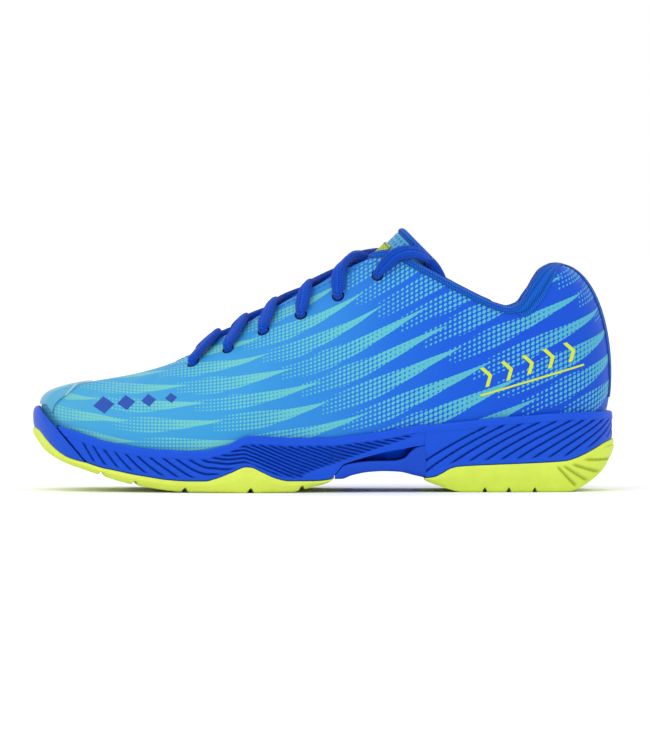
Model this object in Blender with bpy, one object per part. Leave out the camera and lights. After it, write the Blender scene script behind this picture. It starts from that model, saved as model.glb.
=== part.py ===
"""Court shoe, left foot: one closed solid per physical piece.

Lengths are millimetres until a mesh is made. +X runs to the heel, -X to the toe, -Y is the
lateral (outer) side, +Z is up and the sole stands on z = 0.

Every sole and upper piece is lofted over the same family of rays. A ray starts at the
outline of the sole; its station is its x along the straight middle of the shoe and is
counted on round the toe and heel arcs, from -145 at the toe tip to 145 at the heel tip.
"""

import math

import bmesh
import bpy
import numpy as np

MM = 0.001
GAP = 0.3

# Rays
TOE_CENTRE_X = -108.0
HEEL_CENTRE_X = 108.0
ARC_RUN = 37.0
TOE_ANGLES = (90, 78, 66, 54, 43, 33, 24, 16, 8, 0)
HEEL_ANGLES = (0, 15, 30, 45, 60, 75, 90)
MIDDLE = (-97, -86, -75, -64, -54, -45, -38, -31, -22, -12, -3, 5, 6, 11, 11.8, 19, 28)
MIDDLE += (37, 44, 49.4, 51.5, 58, 66, 76, 86, 94, 100)

# Sole
LIP_OUT, LIP_IN = 0.5, 3.1
TRAY_IN = 3.55
BUMPER_IN = 3.6
SEAM_PLANE = ((-132.5, 31.1), (-118.6, 15.3))
FOREFOOT_END = 5.5
SHANK_START, SHANK_END = 6.8, 48.8
HEEL_START = 50.2

# Upper, measured as depths below its outer surface: what lies on it is negative
TOE_FILM = (-1.4, -0.8)
BACK_TAPE = (-1.0, -0.4)
SHELL = 1.2
BACKER = (1.5, 2.2)
PUFF = (1.5, 2.2)
COUNTER = (1.5, 2.7)
VAMP_LINING = (2.5, 3.3)
LINING = 0.8
TUCK = 0.12
BOARD = (0.4, 1.9)
INSOLE = (2.3, 6.3)
FILM_EDGE_X, FILM_EDGE_BOW = -115.4, 0.026

# Lace
HOLES = ((-64.7, 63.7), (-47.2, 70.9), (-29.6, 79.8), (-11.0, 88.0), (7.5, 97.3), (27.1, 107.6))
HOLE_D = 6.6
LACE_W, LACE_T = 6.4, 2.8


def through(*points):
    """A smooth curve through (x, value) stations that doesn't overshoot them."""
    xs = np.array([p[0] for p in points], float)
    ys = np.array([p[1] for p in points], float)
    step = np.diff(xs)
    rise = np.diff(ys) / step
    slope = np.zeros(len(xs))
    slope[0], slope[-1] = rise[0], rise[-1]
    for i in range(1, len(xs) - 1):
        if rise[i - 1] * rise[i] > 0:
            a, b = 2 * step[i] + step[i - 1], step[i] + 2 * step[i - 1]
            slope[i] = (a + b) / (a / rise[i - 1] + b / rise[i])

    def value(x):
        x = np.clip(np.asarray(x, float), xs[0], xs[-1])
        i = np.clip(np.searchsorted(xs, x, side="right") - 1, 0, len(xs) - 2)
        t = (x - xs[i]) / step[i]
        h = step[i]
        return (
            (2 * t**3 - 3 * t**2 + 1) * ys[i]
            + (t**3 - 2 * t**2 + t) * h * slope[i]
            + (3 * t**2 - 2 * t**3) * ys[i + 1]
            + (t**3 - t**2) * h * slope[i + 1]
        )

    return value


# Plan of the sole
LATERAL_Y = through(
    (-108, -36.5), (-97, -40.5), (-80, -45), (-62, -48.5), (-50, -50.6), (-37, -52), (-22, -49.5),
    (0, -45), (20, -41.5), (40, -39.6), (60, -39), (80, -39), (98, -38.4), (108, -37.4),
)
MEDIAL_Y = through(
    (-108, 43.9), (-97, 46.4), (-80, 50), (-64, 51.8), (-50, 51), (-37, 48.8), (-20, 45),
    (0, 39.6), (20, 35.4), (40, 33.4), (60, 33.4), (80, 34.6), (98, 35.2), (108, 34.6),
)
TOE_R_LATERAL = through((0, 40.2), (30, 38), (60, 36.4), (90, 36.9))
TOE_R_MEDIAL = through((0, 40.2), (30, 40.4), (60, 39.5), (75, 38.1), (90, 36.9))
HEEL_R = through((0, 36), (30, 36.2), (60, 37), (90, 37.4))

# Side view of the sole
BOTTOM_Z = through(
    (-145, 27.5), (-142.5, 24.1), (-138.5, 19.8), (-134.5, 17.1), (-130.4, 15), (-126, 13.2),
    (-118, 10.6), (-110, 8), (-102, 5.5), (-94, 3.6), (-86, 2.2), (-78, 1), (-70, 0.2), (-66, 0),
    (-16, 0), (-10, 1.3), (-6, 2.4), (2, 4.5), (7, 7), (30, 8), (49, 7), (50.2, 6), (54.2, 4.2),
    (58.2, 2.8), (62.2, 1.4), (67, 0.2), (69, 0), (122, 0), (126.4, 1.2), (130.4, 3.2),
    (134.5, 6), (138.5, 9.4), (142.5, 14.4), (145, 19),
)
BAND_LATERAL = through(
    (-145, 31.5), (-142.5, 30.1), (-138.5, 25.6), (-134.5, 21.6), (-130.4, 18.6), (-126.4, 16.6),
    (-122, 15.3), (-118.9, 14.6), (-110.4, 12), (-102.3, 10.3), (-94.3, 8.7), (-86.3, 7.4),
    (-76.3, 6), (-66, 5.5), (-58.7, 5.5), (-53.2, 6.8), (-45.7, 9.7), (-38, 12.6), (-35.5, 12.4),
    (-30, 10), (-22.6, 6.8), (-16.6, 5.6), (-4.5, 5.6), (4, 6.4), (7, 8.2), (49, 8.2), (50, 6.9),
    (55, 7.4), (59.7, 9.5), (63.2, 11.5), (67.2, 12.5), (74.3, 13), (86, 13.5), (110, 14.5),
    (121.4, 15.3), (126.9, 16.9), (135, 20.6), (140.5, 23.6), (145.5, 25.8),
)
BAND_MEDIAL = through(
    (-145, 31.5), (-142.5, 30.1), (-138.5, 25.6), (-134.5, 21.6), (-130.4, 18.6), (-126.4, 16.6),
    (-122, 15.3), (-118.9, 14.6), (-110.4, 12), (-102.3, 10.3), (-94.3, 8.7), (-86.3, 7.4),
    (-76.3, 6), (-66, 5.5), (-16.6, 5.6), (-4.5, 5.6), (4, 6.4), (7, 8.2), (49, 8.2), (50, 6.9),
    (55, 7.4), (59.7, 9.5), (63.2, 11.5), (67.2, 12.5), (74.3, 13), (86, 13.5), (110, 14.5),
    (121.4, 15.3), (126.9, 16.9), (135, 20.6), (140.5, 23.6), (145.5, 25.8),
)
TRAY_Z = through(
    (-145, 28.5), (-142, 26), (-138.5, 23), (-134.5, 20.4), (-130.4, 18.2), (-118, 13.6),
    (-102, 8.7), (-86, 5.6), (-70, 4.1), (-66, 4), (-16, 4), (-10, 4.4), (-2, 5.2), (4, 5.9),
    (7, 7.7), (49, 7.7), (50.2, 6.6), (54, 6.4), (60, 5.4), (67, 4.1), (122, 4), (130, 6.4),
    (138.5, 12.6), (142.5, 17.6), (145, 21),
)
LIP_LATERAL = through(
    (-145, 34), (-131.4, 32.1), (-124.4, 30.1), (-116.4, 27.6), (-107.9, 25.1), (-97.8, 23.1),
    (-87.8, 21.7), (-77.3, 21.1), (-66, 20.6), (-58.7, 20.7), (-53.2, 22.1), (-47.7, 23.7),
    (-42.6, 26.1), (-38, 28), (-33.6, 28.1), (-25, 27.7), (-15, 27.2), (4, 27.2), (17, 28.6),
    (29.6, 30.2), (40, 32.1), (45.2, 33.1), (55, 33.7), (65.7, 34.7), (74.3, 35.6), (83.3, 36.6),
    (102.4, 38.1), (115.9, 39.1), (126.9, 39.6), (145.5, 39.6),
)
LIP_MEDIAL = through(
    (-145, 34), (-131.4, 32.1), (-124.4, 30.1), (-116.4, 27.6), (-107.9, 25.1), (-97.8, 23.1),
    (-87.8, 21.7), (-77.3, 21.1), (-66, 20.8), (-50, 21.6), (-35, 23.4), (-15, 25.8), (4, 27.6),
    (29.6, 30.6), (45.2, 33.1), (55, 33.7), (65.7, 34.7), (74.3, 35.6), (83.3, 36.6),
    (102.4, 38.1), (115.9, 39.1), (126.9, 39.6), (145.5, 39.6),
)
BED_Z = through(
    (-145, 31), (-135, 27.2), (-120, 20.8), (-100, 15.4), (-80, 13), (-60, 12.5), (-30, 14),
    (0, 18), (12, 21), (30, 24), (50, 26), (70, 26), (100, 25.6), (145, 26),
)
BUMPER_Z = through(
    (-145, 41.6), (-141, 41.6), (-138.8, 38.8), (-136.7, 36.2), (-132, 32.2), (-126, 29),
    (-118, 26),
)
SHANK_BOTTOM_Z = through(
    (4, 6.5), (9, 6.5), (14.5, 8.3), (22, 9.8), (29.6, 10.3), (37.6, 10), (45.2, 8.3), (50, 7.2),
)
SHANK_TOP_Z = through(
    (4, 7.8), (6.2, 8.6), (10.5, 13.4), (14.5, 14.5), (24.6, 15.5), (34.6, 15.6), (40.1, 16.8),
    (45.2, 19.6), (49, 21.8), (50, 22),
)
SLOT_TOP_Z = through(
    (4, 7.4), (6.2, 9), (10.5, 13.9), (14.5, 15.3), (19.6, 16.9), (29.6, 19.6), (40.1, 21.6),
    (45.2, 22.6), (49, 23.1), (50, 23.4),
)

# Side view of the upper: its top edge and the fan of rays that ends on it
EDGE_Z = through(
    (-71, 65), (-62, 69.6), (-50, 76.5), (-37, 84), (-20, 93.6), (0, 104), (8, 108.4), (14, 111.6),
    (23.6, 115.6), (31, 117), (36, 116.1), (41.6, 113), (55, 105.8), (69, 98.2), (80, 92.8),
    (88, 89.4), (93.6, 87.8), (97, 89.2), (100.8, 95), (106.9, 104), (111.4, 109.4),
    (116.4, 112), (119.5, 112.4),
)
EDGE_X = through(
    (-108, -62), (-86, -50), (-64, -37), (-38, -20), (-12, 0), (11, 18), (28, 33), (44, 46.5),
    (58, 60), (76, 77), (86, 86), (94, 93.4), (100, 98.4), (108, 103),
)
EDGE_HALF = through(
    (-62, 9.5), (-50, 12), (-37, 13.6), (-20, 15), (0, 16.8), (18, 20), (33, 25), (47, 29.6),
    (60, 32), (77, 32.6), (90, 32), (98.5, 30), (103, 28),
)
MIDLINE_Y = through(
    (-145, 10), (-108, 3.7), (-71, 3.2), (-50, 2), (-20, 0.3), (10, -1), (50, -1.6), (120, -0.8),
)

# How each ray leaves the lip (rise, lean) and reaches the top edge (reach, drop)
RISE = through(
    (-145, 13.5), (-130, 15), (-118, 16), (-108, 17), (-86, 18), (-60, 19), (-30, 26), (0, 30),
    (30, 32), (60, 24), (94, 16), (108, 18), (125, 21), (145, 22.2),
)
LEAN = through(
    (-145, 0.6), (-130, 1.2), (-108, 2.6), (-86, 3.4), (-60, 3.2), (-30, 1), (0, -1.5), (30, -1),
    (60, 1.2), (94, 3), (108, 3.6), (125, 4.6), (145, 5.3),
)
REACH = through(
    (-145, 39), (-130, 33), (-118, 27), (-108, 23), (-86, 17), (-60, 14), (-30, 11), (0, 8),
    (30, 4), (60, 1.5), (94, 1.2), (108, 5), (125, 15), (145, 22),
)
DROP = through(
    (-145, 16.5), (-130, 15), (-108, 13), (-86, 11), (-60, 10), (-30, 12), (0, 16), (30, 20),
    (60, 22), (94, 16), (108, 12), (125, 6), (145, 4),
)
COLLAR_DEPTH = through(
    (37, 3.4), (44, 4.2), (49.4, 4.8), (58, 5.8), (66, 6.8), (76, 8.2), (94, 9), (145, 9),
)

# Tongue: (x, value) along its centre line
TONGUE_X = (-77, -64, -50, -35, -20, -5, 9, 20, 29, 34.5, 37.2)
TONGUE_Z = through(
    (-77, 55.6), (-71, 58.8), (-62, 64.2), (-50, 71.4), (-37, 79.2), (-20, 88.8), (0, 99.4),
    (10, 105.2), (20, 113), (29, 120.6), (37.2, 128.6),
)
TONGUE_R = through((-77, 26), (-50, 25), (-20, 24), (9, 22.8), (25, 21.6), (37.2, 20.6))
TONGUE_A = through((-77, 38), (-50, 46), (-20, 58), (9, 74), (25, 90), (37.2, 100))
TONGUE_T = through((-77, 2.4), (-50, 3.6), (0, 5), (25, 7), (34, 6.4), (37.2, 5))


def clear_scene():
    for obj in list(bpy.data.objects):
        bpy.data.objects.remove(obj, do_unlink=True)
    for collection in list(bpy.data.collections):
        bpy.data.collections.remove(collection)


def new_collection(name, hidden=False):
    collection = bpy.data.collections.new(name)
    bpy.context.scene.collection.children.link(collection)
    collection.hide_render = hidden
    return collection


def material(name, colour, roughness, sheen=0.0):
    made = bpy.data.materials.new(name)
    made.use_nodes = True
    shader = made.node_tree.nodes["Principled BSDF"]
    shader.inputs["Base Color"].default_value = (*colour, 1)
    shader.inputs["Roughness"].default_value = roughness
    shader.inputs["Sheen Weight"].default_value = sheen
    made.diffuse_color = (*colour, 1)
    return made


def add_object(name, points, faces, collection, look=None):
    """A mesh object with its doubled points merged and its normals facing out."""
    mesh = bpy.data.meshes.new(name)
    mesh.from_pydata([tuple(p) for p in np.asarray(points) * MM], [], faces)
    work = bmesh.new()
    work.from_mesh(mesh)
    bmesh.ops.remove_doubles(work, verts=work.verts, dist=0.01 * MM)
    bmesh.ops.dissolve_degenerate(work, edges=work.edges, dist=0.002 * MM)
    bmesh.ops.recalc_face_normals(work, faces=work.faces)
    work.to_mesh(mesh)
    work.free()
    obj = bpy.data.objects.new(name, mesh)
    collection.objects.link(obj)
    if look:
        mesh.materials.append(look)
    return obj


def loft(rows, across_closed, along_closed):
    """Faces over rows of points: along_closed joins the last row to the first, across_closed
    joins each row's ends. An open row gets a cap at each end."""
    count, width = len(rows), len(rows[0])
    points = np.concatenate([np.asarray(row, float) for row in rows])
    faces = []
    for k in range(count if along_closed else count - 1):
        below, above = k * width, (k + 1) % count * width
        for j in range(width if across_closed else width - 1):
            n = (j + 1) % width
            faces.append((below + j, below + n, above + n, above + j))
    if not across_closed:
        faces.append(tuple(k * width for k in range(count)))
        faces.append(tuple(k * width + width - 1 for k in reversed(range(count))))
    return points, faces


def box(name, low, high, collection):
    """A plain box for cutting, in millimetres."""
    corners = [
        (x, y, z) for z in (low[2], high[2]) for y in (low[1], high[1]) for x in (low[0], high[0])
    ]
    faces = [(0, 2, 3, 1), (4, 5, 7, 6), (0, 1, 5, 4), (2, 6, 7, 3), (0, 4, 6, 2), (1, 3, 7, 5)]
    obj = add_object(name, corners, faces, collection)
    obj.display_type = "WIRE"
    return obj


def boolean(obj, other, operation):
    step = obj.modifiers.new(operation.title() + " " + other.name, "BOOLEAN")
    step.operation = operation
    step.solver = "EXACT"
    step.object = other


# ---------------------------------------------------------------- rays and outline


def build_rays():
    """Stations, outline points, outward plan normals and spine points of all rays, in order
    from the toe tip down the lateral side to the heel tip and back up the medial side."""
    lateral = []
    for angle in TOE_ANGLES:
        a = math.radians(angle)
        r = float(TOE_R_LATERAL(angle))
        centre = (float(LATERAL_Y(-108)) + float(MEDIAL_Y(-108))) / 2
        x, y = TOE_CENTRE_X - r * math.sin(a), centre - r * math.cos(a)
        lateral.append((-108 - ARC_RUN * angle / 90, x, y, TOE_CENTRE_X, centre))
    for x in MIDDLE:
        lat, med = float(LATERAL_Y(x)), float(MEDIAL_Y(x))
        lateral.append((x, x, lat, x, (lat + med) / 2))
    for angle in HEEL_ANGLES:
        a = math.radians(angle)
        r = float(HEEL_R(angle))
        centre = (float(LATERAL_Y(108)) + float(MEDIAL_Y(108))) / 2
        x, y = HEEL_CENTRE_X + r * math.sin(a), centre - r * math.cos(a)
        lateral.append((108 + ARC_RUN * angle / 90, x, y, HEEL_CENTRE_X, centre))
    medial = []
    for angle in HEEL_ANGLES[-2::-1]:
        a = math.radians(angle)
        r = float(HEEL_R(angle))
        centre = (float(LATERAL_Y(108)) + float(MEDIAL_Y(108))) / 2
        x, y = HEEL_CENTRE_X + r * math.sin(a), centre + r * math.cos(a)
        medial.append((108 + ARC_RUN * angle / 90, x, y, HEEL_CENTRE_X, centre))
    for x in MIDDLE[::-1]:
        lat, med = float(LATERAL_Y(x)), float(MEDIAL_Y(x))
        medial.append((x, x, med, x, (lat + med) / 2))
    for angle in TOE_ANGLES[:0:-1]:
        a = math.radians(angle)
        r = float(TOE_R_MEDIAL(angle))
        centre = (float(LATERAL_Y(-108)) + float(MEDIAL_Y(-108))) / 2
        x, y = TOE_CENTRE_X - r * math.sin(a), centre + r * math.cos(a)
        medial.append((-108 - ARC_RUN * angle / 90, x, y, TOE_CENTRE_X, centre))
    rays = np.array(lateral + medial)
    outline = rays[:, 1:3]
    run = np.roll(outline, -1, axis=0) - np.roll(outline, 1, axis=0)
    run /= np.linalg.norm(run, axis=1)[:, None]
    normal = np.stack([run[:, 1], -run[:, 0]], axis=1)
    side = np.where(np.arange(len(rays)) < len(lateral), -1, 1)
    return rays[:, 0], outline, normal, rays[:, 3:5], side


STATION, OUTLINE, NORMAL, SPINE, SIDE = build_rays()
COUNT = len(STATION)
RAY_X = OUTLINE[:, 0]


def by_side(lateral, medial, x):
    """A side-view table read at x, from the lateral or medial version by ray."""
    return np.where(SIDE < 0, lateral(x), medial(x))


OVER_ARCH = (STATION > 5.5) & (STATION < 50.5)
BAND = by_side(BAND_LATERAL, BAND_MEDIAL, RAY_X)
LIP = by_side(LIP_LATERAL, LIP_MEDIAL, RAY_X)


def inset(depth):
    """Plan points at this depth inside the outline."""
    return OUTLINE - NORMAL * np.broadcast_to(depth, (COUNT,))[:, None]


def core(share):
    """Plan points between the spine (0) and the ring 14 mm inside the outline (1)."""
    return SPINE + (inset(14) - SPINE) * share


def ring(plan, z):
    """A ring of 3D points. z is a table read at each point's own x, or a height per ray."""
    height = z(plan[:, 0]) if callable(z) else np.broadcast_to(z, (COUNT,))
    return np.column_stack([plan, height])


def plus(table, amount):
    return lambda x: table(x) + amount


def mix(a, b, share):
    return a + (b - a) * share


# ---------------------------------------------------------------- sole


def outsole_rings():
    low = inset(2.4)
    foot = BOTTOM_Z(low[:, 0])
    rise = BAND - foot
    return [
        ring(core(0), BOTTOM_Z),
        ring(core(0.55), BOTTOM_Z),
        ring(core(1), BOTTOM_Z),
        ring(inset(5), BOTTOM_Z),
        ring(low, foot + 0.06 * rise),
        ring(inset(0.9), foot + 0.32 * rise),
        ring(inset(0), foot + 0.66 * rise),
        ring(inset(0.1), foot + 0.9 * rise),
        ring(inset(0.6), BAND),
        ring(inset(3.1), BAND - 0.1),
        ring(inset(TRAY_IN), BAND - 0.5),
        ring(inset(4.3), TRAY_Z),
        ring(inset(5), TRAY_Z),
        ring(inset(9), TRAY_Z),
        ring(core(1), TRAY_Z),
        ring(core(0.55), TRAY_Z),
        ring(core(0), TRAY_Z),
    ]


def midsole_under(plan):
    """Heights of the midsole's underside: over the shank on the arch rays, else in the tray."""
    return np.where(OVER_ARCH, SHANK_TOP_Z(plan[:, 0]) + 0.6, TRAY_Z(plan[:, 0]) + 0.5)


def midsole_rings():
    """The lip is left out round the toe tip, where the toe guard stands in its place."""
    arch = OVER_ARCH.astype(float)
    bare = RAY_X < -136
    bed = BED_Z(inset(4.9)[:, 0])
    under = TRAY_IN + GAP
    seam = np.where(arch > 0, SLOT_TOP_Z(RAY_X), BAND + GAP)
    wall = LIP - seam
    edge_in = mix(under, 1.0, arch)
    deep_z = midsole_under(inset(9))
    half_z = np.where(OVER_ARCH, mix(deep_z, seam, 0.8), midsole_under(inset(5)) + 0.3)
    rings = [
        ring(core(0), midsole_under(core(0))),
        ring(core(0.55), midsole_under(core(0.55))),
        ring(core(1), midsole_under(core(1))),
        ring(inset(9), deep_z),
        ring(inset(5), half_z),
    ]
    lip = (
        (edge_in, seam - 0.02, 4.3, 1.0),
        (0.75, seam + 0.1, 4.34, 0.9),
        (LIP_OUT, seam + 0.2 * wall, 4.38, 0.75),
        (LIP_OUT, seam + 0.62 * wall, 4.42, 0.6),
        (0.9, LIP - 1, 4.46, 0.45),
        (1.6, LIP - 0.1, 4.5, 0.3),
        (2.6, LIP - 0.2, 4.6, 0.2),
        (LIP_IN, LIP - 1, 4.7, 0.1),
    )
    for depth, height, bare_depth, below_bed in lip:
        plan = inset(np.where(bare, bare_depth, depth))
        rings.append(ring(plan, np.where(bare, bed - below_bed, height)))
    rings += [
        ring(inset(4.9), BED_Z),
        ring(core(1), BED_Z),
        ring(core(0.55), BED_Z),
        ring(core(0), BED_Z),
    ]
    return rings


def shank_rings():
    low, high = SHANK_BOTTOM_Z, SHANK_TOP_Z
    return [
        ring(core(0), low),
        ring(core(0.55), low),
        ring(core(1), low),
        ring(inset(3), low),
        ring(inset(0.9), low(RAY_X) + 0.8),
        ring(inset(0.7), mix(low(RAY_X), high(RAY_X), 0.6)),
        ring(inset(1.1), high(RAY_X) - 0.4),
        ring(inset(2.5), high),
        ring(inset(5), high),
        ring(inset(9), high),
        ring(core(1), high),
        ring(core(0.55), high),
        ring(core(0), high),
    ]


def half_space(name, line, shift, collection):
    """A cutter that fills the side-view region in front of a slanting line in x and z."""
    (x0, z0), (x1, z1) = line
    run = np.array([x1 - x0, z1 - z0]) / math.hypot(x1 - x0, z1 - z0)
    back = np.array([-run[1], run[0]]) * (1 if -run[1] > 0 else -1)
    start = np.array([x0, z0]) + back * shift
    high = start - run * 60
    low = start + run * 60
    forward = -back * 90
    corners = [high, low, low + forward, high + forward]
    rows = [[(p[0], y, p[1]) for p in corners] for y in (-80, 80)]
    points = rows[0] + rows[1]
    faces = [(0, 1, 2, 3), (7, 6, 5, 4), (0, 4, 5, 1), (1, 5, 6, 2), (2, 6, 7, 3), (3, 7, 4, 0)]
    obj = add_object(name, points, faces, collection)
    obj.display_type = "WIRE"
    return obj


def toe_rays(first_angle):
    """Ray numbers round the toe, from the lateral ray at this angle to the medial one."""
    last = TOE_ANGLES.index(first_angle)
    return [j % COUNT for j in range(last, -last - 1, -1)]


def bumper_rows():
    base = BAND + GAP
    top = BUMPER_Z(RAY_X)
    tall = top - base
    return [
        ring(inset(0.5), base),
        ring(inset(0.1), base + 0.2 * tall),
        ring(inset(0), base + 0.55 * tall),
        ring(inset(0.4), base + 0.85 * tall),
        ring(inset(1.4), top),
        ring(inset(3.1), top - 0.1),
        ring(inset(BUMPER_IN), base + 0.8 * tall),
        ring(inset(BUMPER_IN), base),
    ]


def pod(name, centre, radii, low, high, collection, look=None):
    """An oval pod with a vertical wall, for a cushion or for its pocket."""
    count = 24
    angles = [2 * math.pi * i / count for i in range(count)]
    rows = []
    for scale, z in ((0, low), (1, low), (1, high), (0, high)):
        long, wide = scale * radii[0], scale * radii[1]
        rows.append(
            [(centre[0] + long * math.cos(a), centre[1] + wide * math.sin(a), z) for a in angles]
        )
    points, faces = loft(rows, True, False)
    return add_object(name, points, faces, collection, look)


# ---------------------------------------------------------------- upper


def edge_points():
    """Where each ray ends, on the rim of the throat and collar."""
    points = np.zeros((COUNT, 3))
    for j, q in enumerate(STATION):
        if q < -108:
            a = math.radians((-108 - q) / ARC_RUN * 90)
            x, half = -62 - 9 * math.sin(a), 9.5 * math.cos(a)
        elif q > 108:
            a = math.radians((q - 108) / ARC_RUN * 90)
            x, half = 103 + 16.5 * math.sin(a), 28 * math.cos(a) ** 0.8
        else:
            x = float(EDGE_X(q))
            half = float(EDGE_HALF(x))
        y = float(MIDLINE_Y(x)) + SIDE[j] * half
        points[j] = (x, y, float(EDGE_Z(x)))
    return points


def upper_controls():
    """Foot, lip point and the three other Bezier points of every ray."""
    foot = ring(inset(5.4), plus(BED_Z, 0.6))
    guard = np.where(RAY_X < -131.5, BUMPER_Z(RAY_X), LIP)
    tuck = through((-145, 4.2), (-125, 4.2), (-112, 3.7), (145, 3.7))
    lip = ring(inset(tuck(STATION)), guard + 0.3)
    edge = edge_points()
    away = lip[:, :2] - edge[:, :2]
    away /= np.linalg.norm(away, axis=1)[:, None]
    flat = np.column_stack([away, np.zeros(COUNT)])
    up = np.array([0, 0, 1.0])
    first = lip + up * RISE(STATION)[:, None] + flat * LEAN(STATION)[:, None]
    second = edge + flat * REACH(STATION)[:, None] - up * DROP(STATION)[:, None]
    return foot, lip, first, second, edge


CONTROLS = upper_controls()


def between_rays(u):
    """The five control points at fractional ray numbers."""
    low = np.floor(u).astype(int)
    share = (u - low)[:, None]
    return [c[low % COUNT] * (1 - share) + c[(low + 1) % COUNT] * share for c in CONTROLS]


def surface(u, t):
    """Points of the upper's outer surface. t is 0 at the foot, TUCK at the lip, 1 at the edge."""
    foot, a, b, c, d = between_rays(u)
    s = np.clip((t - TUCK) / (1 - TUCK), 0, 1)[:, None]
    curve = a * (1 - s) ** 3 + 3 * b * s * (1 - s) ** 2 + 3 * c * s**2 * (1 - s) + d * s**3
    low = np.clip(t / TUCK, 0, 1)[:, None]
    return np.where(t[:, None] < TUCK, foot + (a - foot) * low, curve)


def frames(u, t):
    """Surface points, outward normals and the unit direction towards the edge."""
    step = 0.012
    here = surface(u, t)
    up = surface(u, np.minimum(t + step, 1)) - surface(u, np.maximum(t - step, 0))
    along = surface(u + 1, t) - surface(u - 1, t)
    normal = np.cross(along, up)
    normal /= np.linalg.norm(normal, axis=1)[:, None]
    up /= np.linalg.norm(up, axis=1)[:, None]
    return here, normal, up


def sheet_row(rays, t, depth):
    """One row of a layer: the surface at t, moved in by depth."""
    u = np.array(rays, float)
    t = np.broadcast_to(np.asarray(t, float), u.shape)
    here, normal, _ = frames(u, t)
    return here - normal * np.broadcast_to(depth, u.shape)[:, None]


def layer(name, rays, rows_t, outer, inner, closed, collection, look):
    """A solid between two depths. rows_t is a list of t values, each one number or per ray."""
    rows = [sheet_row(rays, t, outer(t) if callable(outer) else outer) for t in rows_t]
    rows += [sheet_row(rays, t, inner(t) if callable(inner) else inner) for t in reversed(rows_t)]
    points, faces = loft(rows, closed, True)
    return add_object(name, points, faces, collection, look)


def t_at_distance(rays, distance):
    """The t on each ray that lies this far below the top edge."""
    found = []
    samples = np.linspace(1, TUCK, 240)
    for j in rays:
        path = surface(np.full(240, float(j)), samples)
        length = np.concatenate([[0], np.cumsum(np.linalg.norm(np.diff(path, axis=0), axis=1))])
        found.append(np.interp(distance, length, samples))
    return np.array(found)


def t_at_height(rays, heights):
    """The t on each ray where it first reaches this height."""
    found = []
    samples = np.linspace(0, 1, 300)
    for j, z in zip(rays, heights):
        path = surface(np.full(300, float(j)), samples)
        above = np.nonzero(path[:, 2] >= z)[0]
        found.append(samples[above[0]] if len(above) else 1.0)
    return np.array(found)


def t_at_film_edge(rays):
    """The t on each toe ray where it crosses the film's rear edge, a shallow arc in plan."""
    found = []
    samples = np.linspace(TUCK, 1, 300)
    for j in rays:
        path = surface(np.full(300, float(j)), samples)
        behind = path[:, 0] - (FILM_EDGE_X - FILM_EDGE_BOW * (path[:, 1] - 8) ** 2)
        found.append(samples[np.nonzero(behind > 0)[0][0]])
    return np.array(found)


def rays_between(first, last):
    """Lateral ray numbers whose stations lie from first to last."""
    top = COUNT // 2 + 1
    return [j for j in range(top) if first - 1e-6 <= STATION[j] <= last + 1e-6]


def mirror_ray(j):
    """The medial ray with the same station."""
    return (COUNT - j) % COUNT


def around_toe(last):
    """Rays from the lateral station back round the toe to the same medial station."""
    lateral = rays_between(-145, last)
    return lateral[::-1] + [mirror_ray(j) for j in lateral[1:]]


def around_heel(first):
    """Rays from the lateral station round the heel to the same medial station."""
    lateral = rays_between(first, 145)
    return lateral + [mirror_ray(j) for j in lateral[-2::-1]]


def find_on_side(x, z, side):
    """The ray number and t where the upper's surface passes a side-view position."""
    low, high = (0.0, COUNT / 2) if side < 0 else (COUNT / 2, float(COUNT))
    t_low, t_high = 0.3, 1.0
    best = None
    for _ in range(5):
        us, ts = np.meshgrid(np.linspace(low, high, 60), np.linspace(t_low, t_high, 60))
        where = surface(us.ravel(), ts.ravel())
        miss = (where[:, 0] - x) ** 2 + (where[:, 2] - z) ** 2
        i = int(np.argmin(miss))
        best = (us.ravel()[i], ts.ravel()[i])
        du, dt = (high - low) / 20, (t_high - t_low) / 20
        low, high = best[0] - du, best[0] + du
        t_low, t_high = max(best[1] - dt, 0), min(best[1] + dt, 1)
    return best


def collar_total(rays, t):
    """Full thickness of the collar's layers at t."""
    top = COLLAR_DEPTH(STATION[np.array(rays) % COUNT])
    share = np.clip((np.asarray(t) - 0.46) / 0.2, 0, 1)
    share = share * share * (3 - 2 * share)
    return 3.9 + (np.maximum(top, 3.4) - 3.9) * share


def cap_rows(rays, depth):
    """The collar binding's section on every ray, standing on the top edge."""
    u = np.array(rays, float)
    here, normal, up = frames(u, np.ones(len(u)))
    depth = np.asarray(depth)
    tall = 3.2
    rows = []
    section = ((0, 0.24), (0, 0.55), (0.12, 0.92), (0.5, 1.08), (0.88, 0.92), (1, 0.55), (1, 0.24))
    for side, height in section:
        d = -0.5 + side * (depth + 1.0)
        rows.append(here - normal * d[:, None] + up * (tall * height))
    return rows


# ---------------------------------------------------------------- tongue


def tongue_frame(x):
    """Centre point, tangent and normal of the tongue's centre line."""
    z = float(TONGUE_Z(x))
    rise = float(TONGUE_Z(x + 0.5) - TONGUE_Z(x - 0.5))
    run = 1.0 if -77 < x < 36.7 else 0.5
    tangent = np.array([run, 0, rise]) / math.hypot(run, rise)
    normal = np.array([-tangent[2], 0, tangent[0]])
    return np.array([x, float(MIDLINE_Y(x)), z]), tangent, normal


def tongue_row(x, depth, push=0.0, turn=1.0):
    """Points across the tongue at one station, at a depth under its outer face."""
    centre, tangent, normal = tongue_frame(x)
    radius = float(TONGUE_R(x))
    half = math.radians(float(TONGUE_A(x))) * turn
    row = []
    for i in range(13):
        a = half * (i / 6 - 1)
        r = radius - depth
        across = np.array([0, math.sin(a), 0])
        droop = -normal * (radius - r * math.cos(a))
        row.append(centre + across * r + droop + tangent * push)
    return np.array(row)


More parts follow.
